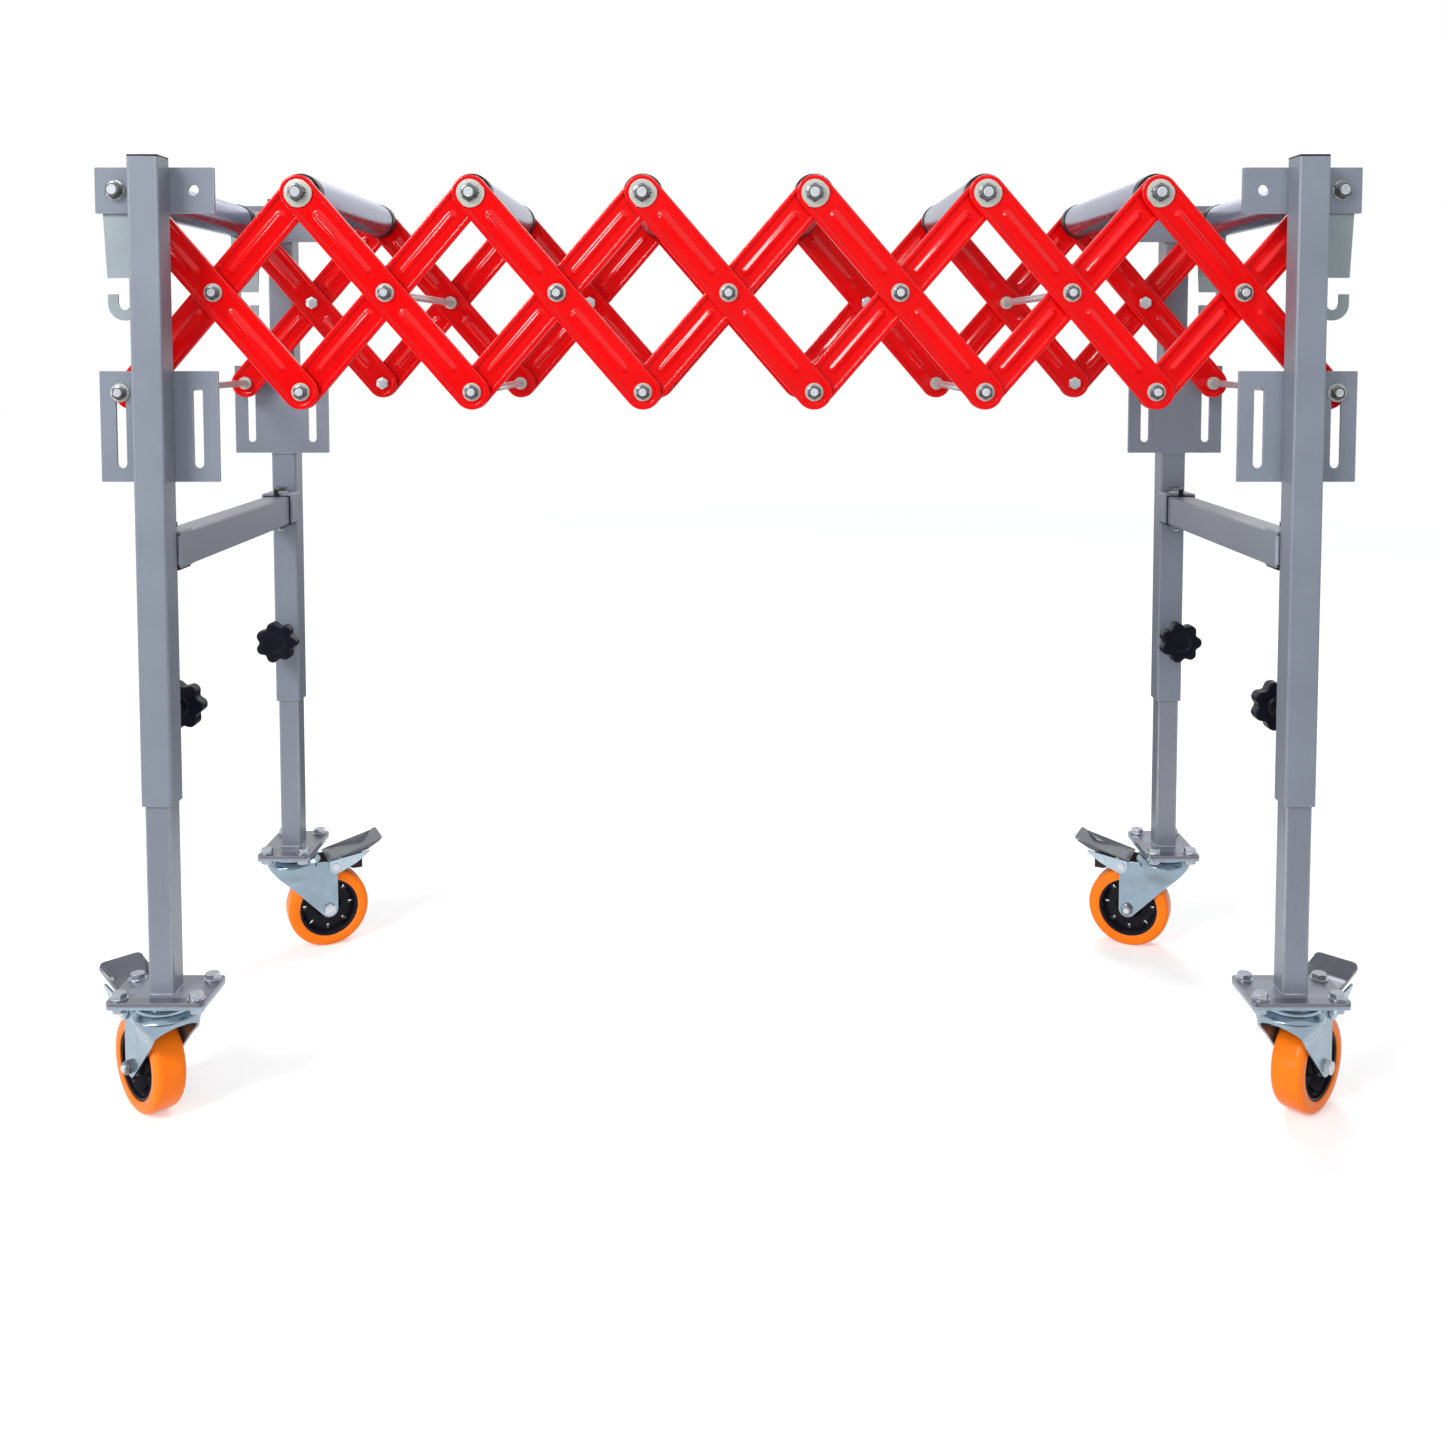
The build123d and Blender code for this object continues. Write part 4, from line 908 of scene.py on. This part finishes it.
knob_plastic = finish(
    "black knob plastic", moulded_plastic, {"Specular IOR Level": 0.15},
    color=(0.006, 0.006, 0.012, 1), edge_color=(0.03, 0.03, 0.04, 1), edge_width=0.0008,
    grain_size=0.0007, grain_height=0.00004, roughness=0.34,
)
for corner in corners:
    turn_place = joint_place[f"{corner}_knob_turn"]
    seat = facing(*turn_place, 1 if turn_place.y < middle_y else -1)
    head = bmesh.new()
    knob_head(head, seat)
    piece_from(head, f"{corner}_knob_head", [knob_plastic], f"{corner}_height_knob",
               [f"{corner}_height_knob"])
    stud = bmesh.new()
    profile = [(0, stud_tip)]
    for turn in range(round((knob_collar_start - stud_tip) / thread_pitch)):
        profile.append((stud_radius - thread_depth, stud_tip + turn * thread_pitch))
        profile.append((stud_radius, stud_tip + (turn + 0.5) * thread_pitch))
    profile.append((stud_radius, knob_head_start))
    turned(stud, seat, profile, 0, 24)
    piece_from(stud, f"{corner}_knob_stud", [fastener_finishes[BOLT]], f"{corner}_height_knob")


# Caster forks. Each is deep drawn from zinc plated sheet: a round crown under the ball race whose
# wall narrows into two cheeks for the wheel and ends in two ears for the brake pedal.
crown_top = 0.1194
crown_radius = 0.033
crown_flat = 0.026
crown_bore = 0.0062
crown_skirt_low = 0.1085
race_inner, race_outer, race_height = 0.0262, 0.0290, 0.0034
cheek_middle = 0.0195
fork_sheet = 0.003
wall_radius = 0.0312
wall_narrowing = 0.028
fork_eye = (0.040, 0.050)
fork_eye_radius = 0.0105
cut_start = (-0.025, 0.1024)
rear_neck = 0.094
ear = (0.048, 0.1045)
ear_radius = 0.0065
ear_rivet_reach = 0.024
wall_top = 0.1125
bulge_low = 0.086
grid_spacing = 0.0035
caster_nut = crossbar_nut._replace(height=0.0065)
quarter = wall_radius * math.pi / 2


def arc_points(centre, radius, start, end, steps):
    """Points round an arc, angles in radians."""
    angles = [start + (end - start) * step / steps for step in range(steps + 1)]
    return [Vector((centre[0] + radius * math.cos(angle), centre[1] + radius * math.sin(angle)))
            for angle in angles]


def round_hole(centre, radius, steps):
    """A closed loop of points round a centre."""
    return arc_points(centre, radius, 0, math.tau, steps)[:-1]


def inside(point, loop):
    """Whether a point lies within a closed loop."""
    crossed = False
    for (x, y), (after_x, after_y) in zip(loop, loop[1:] + loop[:1]):
        if (y > point[1]) != (after_y > point[1]):
            if point[0] < x + (point[1] - y) / (after_y - y) * (after_x - x):
                crossed = not crossed
    return crossed


def cut_sheet(outline, holes, spacing):
    """Triangles that fill an outline round its holes, with a grid of points for bending."""
    points, edges = [], []
    for loop in [outline] + list(holes):
        first = len(points)
        points += [Vector(point) for point in loop]
        edges += [(first + i, first + (i + 1) % len(loop)) for i in range(len(loop))]
    low = [min(point[axis] for point in outline) for axis in (0, 1)]
    high = [max(point[axis] for point in outline) for axis in (0, 1)]
    border = list(points)
    columns, rows = (round((high[axis] - low[axis]) / spacing) for axis in (0, 1))
    for column in range(1, columns):
        for row in range(1, rows):
            point = Vector((low[0] + column * spacing, low[1] + row * spacing))
            if min((point - other).length for other in border) > spacing * 0.5:
                points.append(point)
    points, _, triangles = delaunay_2d_cdt(points, edges, [], 1, merge_distance)[:3]
    faces = []
    for triangle in triangles:
        centre = sum((points[index] for index in triangle), Vector((0, 0))) / 3
        if inside(centre, outline) and not any(inside(centre, hole) for hole in holes):
            faces.append(triangle)
    return points, faces


def bent_sheet(bm, points, faces, bend):
    """Adds a cut sheet whose points are taken to their places by a bend."""
    used = {}
    for face in faces:
        for index in face:
            if index not in used:
                used[index] = bm.verts.new(bend(*points[index]))
        bm.faces.new([used[index] for index in face])


def sheet_piece(name, sheet, bends, thickness, materials, body, edge, replaced=()):
    """A piece of sheet metal: one cut sheet for each bend, thickened and its edges broken."""
    bm = bmesh.new()
    for bend in bends:
        bent_sheet(bm, *sheet, bend)
    piece = piece_from(bm, name, materials, body, replaced, 60)
    thick = piece.modifiers.new("sheet thickness", "SOLIDIFY")
    thick.thickness = thickness
    thick.offset = 0
    break_edges(piece, edge, 50)


def smooth_step(share):
    """An even rise from zero to one."""
    share = min(1, max(0, share))
    return share * share * (3 - 2 * share)


def wall_x(run):
    """How far back a point of the fork's wall lies, by its run from the middle of the front."""
    if run < quarter:
        return -wall_radius * math.cos(run / wall_radius)
    return run - quarter


def fork_wall(run, z, side):
    """A point of the fork's wall: the round crown above narrows to a flat cheek below."""
    x = wall_x(run)
    if run < quarter:
        y = wall_radius * math.sin(run / wall_radius)
    else:
        y = wall_radius + (cheek_middle - wall_radius) * smooth_step(x / wall_narrowing)
    if y > cheek_middle:
        rise = smooth_step((z - bulge_low) / (wall_top - bulge_low))
        y = cheek_middle + (y - cheek_middle) * rise
    return Vector((x, side * y, z))


def fork_wall_outline():
    """Half of the fork's wall unrolled: the run from the front, and the height."""
    eye, front = Vector(fork_eye), Vector(cut_start)
    towards = front - eye
    tangent = math.atan2(towards.y, towards.x) + math.acos(fork_eye_radius / towards.length)
    touch = eye + fork_eye_radius * Vector((math.cos(tangent), math.sin(tangent)))
    slope = (touch.y - front.y) / (touch.x - front.x)
    runs = [(touch.x + quarter) * step / 16 for step in range(16)]
    points = [Vector((run, front.y + slope * (wall_x(run) - front.x))) for run in runs]
    points += arc_points((eye.x + quarter, eye.y), fork_eye_radius, tangent, math.tau, 14)
    points.append(Vector((eye.x + quarter + fork_eye_radius, rear_neck)))
    points += arc_points((ear[0] + quarter, ear[1]), ear_radius, 0, math.pi / 2, 7)
    points += [Vector(((crown_flat + quarter) * (1 - step / 12), wall_top)) for step in range(13)]
    return points


def caster_place(corner):
    """The caster's own place: on the floor under the swivel, X towards the wheel."""
    swivel = joint_place[f"{corner}_swivel"]
    trail = joint_place[f"{corner}_wheel_spin"] - swivel
    turn = Matrix.Rotation(math.atan2(trail.y, trail.x), 4, "Z")
    return Matrix.Translation((swivel.x, swivel.y, 0)) @ turn


axle_hole = round_hole((fork_eye[0] + quarter, fork_eye[1]), caster_nut.bore, 16)
wall_sheet = cut_sheet(fork_wall_outline(), [axle_hole], grid_spacing)
for corner in corners:
    place = caster_place(corner)
    body = f"{corner}_caster_fork"
    bends = [lambda run, z, side=side: place @ fork_wall(run, z, side) for side in (1, -1)]
    sheet_piece(f"{corner}_fork_cheeks", wall_sheet, bends, fork_sheet, [caster_zinc], body, 0.0005,
                [body])
    crown = bmesh.new()
    inner = crown_radius - fork_sheet
    turned(crown, place, rounded_path([
        (crown_bore, crown_top, 0), (crown_flat, crown_top, 0.003),
        (crown_radius, crown_top - 0.006, 0.003), (crown_radius, crown_skirt_low, 0.0008),
        (inner, crown_skirt_low, 0.0008), (inner, crown_top - 0.0075, 0.002),
        (crown_flat - 0.001, crown_top - fork_sheet, 0.002),
        (crown_bore, crown_top - fork_sheet, 0), (crown_bore, crown_top, 0),
    ]), 0, 72)
    race_low, race_high = crown_top + 0.0002, crown_top + race_height
    turned(crown, place, rounded_path([
        (race_inner, race_low, 0), (race_outer, race_low, 0.0006), (race_outer, race_high, 0.0006),
        (race_inner, race_high, 0), (race_inner, race_low, 0),
    ], 3), 0, 72)
    piece_from(crown, f"{corner}_fork_crown", [caster_zinc], body)
    bolt = bmesh.new()
    cheek_outer = cheek_middle + fork_sheet / 2
    across = place @ Matrix.Translation((fork_eye[0], 0, fork_eye[1]))
    head_seat = across @ facing(0, -cheek_outer, 0, -1)
    hexagon(bolt, head_seat, caster_nut.flats, 0, crossbar_nut.height, finish_index=BOLT)
    nut_seat = across @ facing(0, cheek_outer, 0, 1)
    lock_nut(bolt, nut_seat, caster_nut)
    threaded_rod(bolt, nut_seat, -2 * cheek_outer - 0.001, caster_nut.height + rod_end_proud,
                 caster_nut.bore)
    for way in (-1, 1):
        rivet_seat = place @ facing(ear[0], way * ear_rivet_reach, ear[1], way)
        turned(bolt, rivet_seat, rounded_path([
            (0.003, -ear_rivet_reach, 0), (0.003, 0, 0), (0.005, 0, 0), (0.005, 0.0016, 0.0008),
            (0, 0.0019, 0)]), BOLT, 24)
    piece_from(bolt, f"{corner}_axle_bolt", fastener_finishes, body)


# Caster wheels. A hard orange tread is cast on a black moulded core, which has a dished web with
# small windows and a hub that holds the bearing.
wheel_radius = 0.050
wheel_half_width = 0.016
tread_shoulder = 0.0075
core_radius = 0.037
core_half_width = 0.0142
rim_inner = 0.0332
web_half = 0.0025
hub_radius = 0.0125
hub_half = 0.0172
dish_run = 0.004
dish_depth = 0.0085
window_count = 8
window_radius = 0.0284
tread_material = finish(
    "orange tread", moulded_plastic, {"Specular IOR Level": 0.15},
    color=(1.0, 0.20, 0.007, 1), edge_color=(1.0, 0.36, 0.10, 1), edge_width=0.0008,
    grain_size=0.004, grain_height=0.00006, mottle=0.04, roughness=0.28,
)
core_plastic = finish(
    "black wheel core", moulded_plastic, {"Specular IOR Level": 0.12},
    color=(0.009, 0.008, 0.013, 1), edge_color=(0.03, 0.03, 0.04, 1), edge_width=0.0008,
    grain_size=0.0009, grain_height=0.00002, roughness=0.34,
)


def window_outline(angle):
    """A small rounded window through the web, wider towards the rim."""
    radial = Vector((math.cos(angle), math.sin(angle)))
    sideways = Vector((-radial.y, radial.x))
    shape = [(-0.0028, -0.0010), (0.0026, -0.0036), (0.0026, 0.0036), (-0.0028, 0.0010)]
    return [radial * (window_radius + out) + sideways * side for out, side in shape]


def core_face(radius):
    """Half the core's thickness at a radius: thin in the dish, thicker towards hub and rim."""
    to_rim = smooth_step((radius - rim_inner + dish_run) / dish_run)
    to_hub = smooth_step((hub_radius + dish_run - radius) / dish_run)
    return web_half + dish_depth * (to_rim + to_hub)


windows = [window_outline(number * math.tau / window_count) for number in range(window_count)]
hub_hole = round_hole((0, 0), hub_radius - 0.0004, 40)
web_sheet = cut_sheet(round_hole((0, 0), rim_inner + 0.0004, 72), [hub_hole] + windows, 0.0022)


def core_web(bm, place):
    """The dished web between hub and rim, with its windows cut through."""
    bends = [lambda x, y, way=way: place @ Vector((x, y, way * core_face(math.hypot(x, y))))
             for way in (-1, 1)]
    for bend in bends:
        bent_sheet(bm, *web_sheet, bend)
    for window in windows:
        strip(bm, [[bm.verts.new(bend(*point)) for point in window] for bend in bends])


def both_ways(half):
    """A closed profile from its half: mirrored, then as it is, then back to the start."""
    mirrored_half = [(radius, -height, corner) for radius, height, corner in half]
    return mirrored_half + half[::-1] + mirrored_half[:1]


for corner in corners:
    body = f"{corner}_caster_wheel"
    heading = caster_place(corner).to_3x3().to_4x4()
    spin = Matrix.Translation(joint_place[f"{corner}_wheel_spin"]) @ heading @ facing(0, 0, 0, 1)
    tread = bmesh.new()
    lip = wheel_half_width - 0.0006
    turned(tread, spin, rounded_path(both_ways([
        (core_radius - 0.0006, lip, 0), (core_radius + 0.0008, lip, 0.0005),
        (core_radius + 0.0012, wheel_half_width, 0.0005),
        (wheel_radius, wheel_half_width, tread_shoulder),
    ]), 7), 0, 96)
    piece_from(tread, f"{corner}_tread", [tread_material], body, [body])
    core = bmesh.new()
    turned(core, spin, rounded_path([
        (core_radius - 0.0006, -core_half_width, 0), (rim_inner, -core_half_width, 0.0008),
        (rim_inner - 0.0006, 0, 0), (rim_inner, core_half_width, 0.0008),
        (core_radius - 0.0006, core_half_width, 0), (core_radius - 0.0006, -core_half_width, 0),
    ], 3), 0, 96)
    turned(core, spin, rounded_path(both_ways([
        (0.0041, hub_half, 0), (0.0078, hub_half, 0.0003), (0.0082, hub_half - 0.0012, 0.0003),
        (hub_radius - 0.0012, hub_half - 0.0012, 0.0008), (hub_radius, 0.004, 0.0004),
    ]), 3), 0, 48)
    core_web(core, spin)
    piece_from(core, f"{corner}_wheel_core", [core_plastic], body)


# Brake pedals. A bent and plated sheet with a web down each side turns on the fork's ears; pressed
# down, its black pad bears on the tread. A rivet in each web holds the pad's carrier.
pedal_sheet = 0.0025
pedal_half_width = 0.0227
pedal_path = ((0.0375, 0.1149, 0), (0.088, 0.1217, 0.012), (0.107, 0.1362, 0))
pedal_tip_corner = 0.007
pedal_line = 0.0495
pedal_line_depth = 0.0008
pedal_line_half_width = 0.0012
pedal_spacing = 0.004
pad_start, pad_end, pad_half_width = 0.061, 0.083, 0.013
pad_low = 0.0955
pad_wheel_gap = 0.005
pedal_rivet = (0.0718, 0.1105)
pedal_zinc = zinc("zinc pedal", (0.13, 0.14, 0.16, 1), 0.25, 0.8, cloud=0.3, cloud_size=0.02,
                  line_height=0.000008)
web_zinc = zinc("zinc pedal web", (0.45, 0.56, 0.64, 1), 0.24, 0.75, cloud=0.2)
pad_rubber = finish("black brake pad", moulded_plastic, {"Specular IOR Level": 0.35},
                    color=(0.010, 0.009, 0.011, 1), grain_size=0.0012, roughness=0.6)
pedal_line_points = rounded_path(pedal_path, 8)


def pedal_point(run, across):
    """A point of the pedal's top sheet by its run along the bent path."""
    left = run
    for near, far in zip(pedal_line_points, pedal_line_points[1:]):
        length = (far - near).length
        if left <= length or far is pedal_line_points[-1]:
            spot = near + (far - near) * (left / length)
            break
        left -= length
    pressed = max(0, 1 - abs(spot.x - pedal_line) / pedal_line_half_width) * pedal_line_depth
    return Vector((spot.x, across, spot.y - pedal_sheet / 2 - pressed))


def pedal_outline():
    """The pedal's top sheet unrolled, its tip rounded."""
    length = sum((far - near).length for near, far in zip(pedal_line_points, pedal_line_points[1:]))
    half = pedal_half_width
    loop = [(0, 0, 0), (0, -half, 0.001), (length, -half, pedal_tip_corner),
            (length, half, pedal_tip_corner), (0, half, 0.001), (0, 0, 0)]
    return rounded_path(loop, 6)[1:]


def web_outline():
    """The web seen from the side: round at the pivot, following the sheet to its bend."""
    roof = pedal_path[0][1] - pedal_sheet
    bend_x, bend_z = pedal_path[1][0] + 0.003, pedal_path[1][1] - pedal_sheet + 0.0008
    corners = [
        (0.040, roof, 0), (0.040, 0.1035, 0.003), (0.0445, 0.0965, 0.006), (0.0525, 0.0965, 0.004),
        (0.074, 0.1065, 0.012), (0.0895, 0.1175, 0.003), (bend_x, bend_z, 0.0005), (0.040, roof, 0),
    ]
    return rounded_path(corners, 5)[1:]


def brake_pad(bm, place):
    """The pad under the pedal, hollowed to the tread's round."""
    wheel = Vector(fork_eye)
    clearance = wheel_radius + pad_wheel_gap
    (start_x, start_z), (bend_x, bend_z) = (point[:2] for point in pedal_path[:2])
    slope = (bend_z - start_z) / (bend_x - start_x)
    edge = 0.001
    flat = 1 - edge / pad_half_width
    rings = []
    for step in range(9):
        x = pad_start + (pad_end - pad_start) * step / 8
        roof = start_z - pedal_sheet + slope * (x - start_x)
        low = max(pad_low, wheel.y + math.sqrt(max(0, clearance**2 - (x - wheel.x)**2)))
        half = [(1, roof), (1, low + edge), (flat, low)]
        section = [(-y, z) for y, z in half] + half[::-1]
        rings.append([bm.verts.new(place @ Vector((x, y * pad_half_width, z))) for y, z in section])
    strip(bm, rings)
    for ring in (rings[0], rings[-1]):
        bm.faces.new(ring)


top_sheet = cut_sheet(pedal_outline(), [], pedal_spacing)
side_sheet = cut_sheet(web_outline(), [round_hole(ear, 0.0031, 16)], pedal_spacing)
for corner in corners:
    place = caster_place(corner)
    body = f"{corner}_brake_pedal"
    bends = [lambda run, across: place @ pedal_point(run, across)]
    sheet_piece(f"{corner}_pedal_sheet", top_sheet, bends, pedal_sheet, [pedal_zinc], body, 0.0006,
                [body])
    bends = [lambda x, z, y=way * pedal_half_width: place @ Vector((x, y, z)) for way in (-1, 1)]
    sheet_piece(f"{corner}_pedal_webs", side_sheet, bends, pedal_sheet, [web_zinc], body, 0.0006)
    pad = bmesh.new()
    brake_pad(pad, place)
    piece_from(pad, f"{corner}_brake_pad", [pad_rubber], body)
    rivets = bmesh.new()
    for way in (-1, 1):
        outside = way * (pedal_half_width + pedal_sheet / 2)
        seat = place @ facing(pedal_rivet[0], outside, pedal_rivet[1], way)
        turned(rivets, seat, rounded_path([
            (0.0025, -0.0025, 0), (0.0025, 0, 0), (0.0032, 0, 0), (0.0032, 0.001, 0.0006),
            (0.0012, 0.0012, 0.0002), (0.0010, 0.0002, 0.0002), (0, 0.0002, 0)]), BOLT, 20)
    piece_from(rivets, f"{corner}_pedal_rivets", fastener_finishes, body)


# Studio. A plain pale floor and background, a broad soft light at the upper left of the camera and
# weaker ones round the object, at a level where colours show as they are written. Two dark cards,
# before and behind the object, show only in reflections and keep glossy faces to their tone.
floor_size = 30.0
glow_reach = (1.0, 6.0)
glow_strength = (0.36, 0.76)
front_card = (4.5, ((-0.62, 0.004), (-4.6, 0.004), (-5.0, 0.4), (-5.0, 2.0)))
back_card = (1.6, ((0.7, 0.004), (5.0, 0.004)))
card_tone = (0.05, 0.053, 0.058, 1)


def empty_tree(owner):
    """The node tree of a material or world, cleared."""
    owner.use_nodes = True
    owner.node_tree.nodes.clear()
    return owner.node_tree


def seen_by(tree, *kinds):
    """One for rays of the given kinds."""
    path = add(tree, "ShaderNodeLightPath")
    seen = path.outputs[f"Is {kinds[0]} Ray"]
    for kind in kinds[1:]:
        seen = arithmetic(tree, "MAXIMUM", seen, path.outputs[f"Is {kind} Ray"])
    return seen


def floor_material():
    """Pale floor, white to the camera; its glow is weaker near the object, for the shadow."""
    material = bpy.data.materials.new("studio floor")
    tree = empty_tree(material)
    seen = seen_by(tree, "Camera", "Glossy")
    diffuse = add(tree, "ShaderNodeBsdfDiffuse", {"Color": (0.86, 0.86, 0.86, 1)})
    place = add(tree, "ShaderNodeTexCoord").outputs["Object"]
    away = add(tree, "ShaderNodeVectorMath", {0: place}, operation="LENGTH").outputs["Value"]
    strength = rescaled(tree, away, glow_reach, glow_strength)
    glow = add(tree, "ShaderNodeEmission", {"Color": (1, 1, 1, 1), "Strength": strength})
    both = add(tree, "ShaderNodeAddShader", {0: diffuse.outputs[0], 1: glow.outputs[0]})
    shown = add(tree, "ShaderNodeMixShader", {0: seen, 1: diffuse.outputs[0], 2: both.outputs[0]})
    add(tree, "ShaderNodeOutputMaterial", {"Surface": shown.outputs[0]})
    return material


bpy.ops.mesh.primitive_plane_add(size=floor_size)
floor = bpy.context.object
floor.name = "studio_floor"
floor.data.materials.append(floor_material())
card = bmesh.new()
for half_width, path in (front_card, back_card):
    strip(card, [[card.verts.new((way * half_width, y, z)) for way in (-1, 1)] for y, z in path],
          closed=False)
card_mesh = bpy.data.meshes.new("reflection_card")
card.to_mesh(card_mesh)
card.free()
card_material = bpy.data.materials.new("reflection card")
tree = empty_tree(card_material)
shade = add(tree, "ShaderNodeEmission", {"Color": card_tone, "Strength": 1.0})
add(tree, "ShaderNodeOutputMaterial", {"Surface": shade.outputs[0]})
card_mesh.materials.append(card_material)
reflection_card = place_object("reflection_card", card_mesh)
for ray in ("camera", "diffuse", "transmission", "shadow"):
    setattr(reflection_card, f"visible_{ray}", False)
world = bpy.data.worlds.new("studio")
bpy.context.scene.world = world
tree = empty_tree(world)
seen = seen_by(tree, "Camera", "Glossy", "Transmission")
bright = add(tree, "ShaderNodeBackground", {"Color": (1, 1, 1, 1), "Strength": 1.0})
dim = add(tree, "ShaderNodeBackground", {"Color": (0.94, 0.97, 1, 1), "Strength": 0.30})
sky = add(tree, "ShaderNodeMixShader", {0: seen, 1: dim.outputs[0], 2: bright.outputs[0]})
add(tree, "ShaderNodeOutputWorld", {"Surface": sky.outputs[0]})


object_middle = Vector((0, 0, 0.55))


def soft_light(name, place, size, watts):
    """A square soft box that looks at the middle of the object."""
    data = bpy.data.lights.new(name, "AREA")
    data.shape = "SQUARE"
    data.size = size
    data.energy = watts
    light = place_object(name, data)
    light.visible_camera = False
    light.location = place
    light.rotation_euler = (object_middle - Vector(place)).to_track_quat("-Z", "Y").to_euler()
    return light


soft_light("key_light", (-2.1, -2.6, 2.6), 1.2, 88)
front_light = soft_light("front_light", (0.3, -2.2, 1.1), 1.6, 21)
front_light.visible_glossy = False
soft_light("low_light", (-2.5, -1.9, 0.35), 0.6, 13)
soft_light("back_light", (0.6, 2.2, 3.1), 2.0, 60)


# Camera, at the photograph's place: level with the rollers' end, in front of the middle of the near
# side and tilted slightly down.
camera_tilt = 3.40
camera_data = bpy.data.cameras.new("camera")
camera_data.sensor_width = 36
camera_data.lens = 36.77
camera_data.shift_x = -0.00417
camera_data.shift_y = -0.2
camera = place_object("camera", camera_data)
camera.location = (0, -1.6490, 0.7675)
camera.rotation_euler = (math.radians(90 - camera_tilt), 0, 0)
bpy.context.scene.camera = camera
bpy.context.scene.view_settings.view_transform = "Standard"
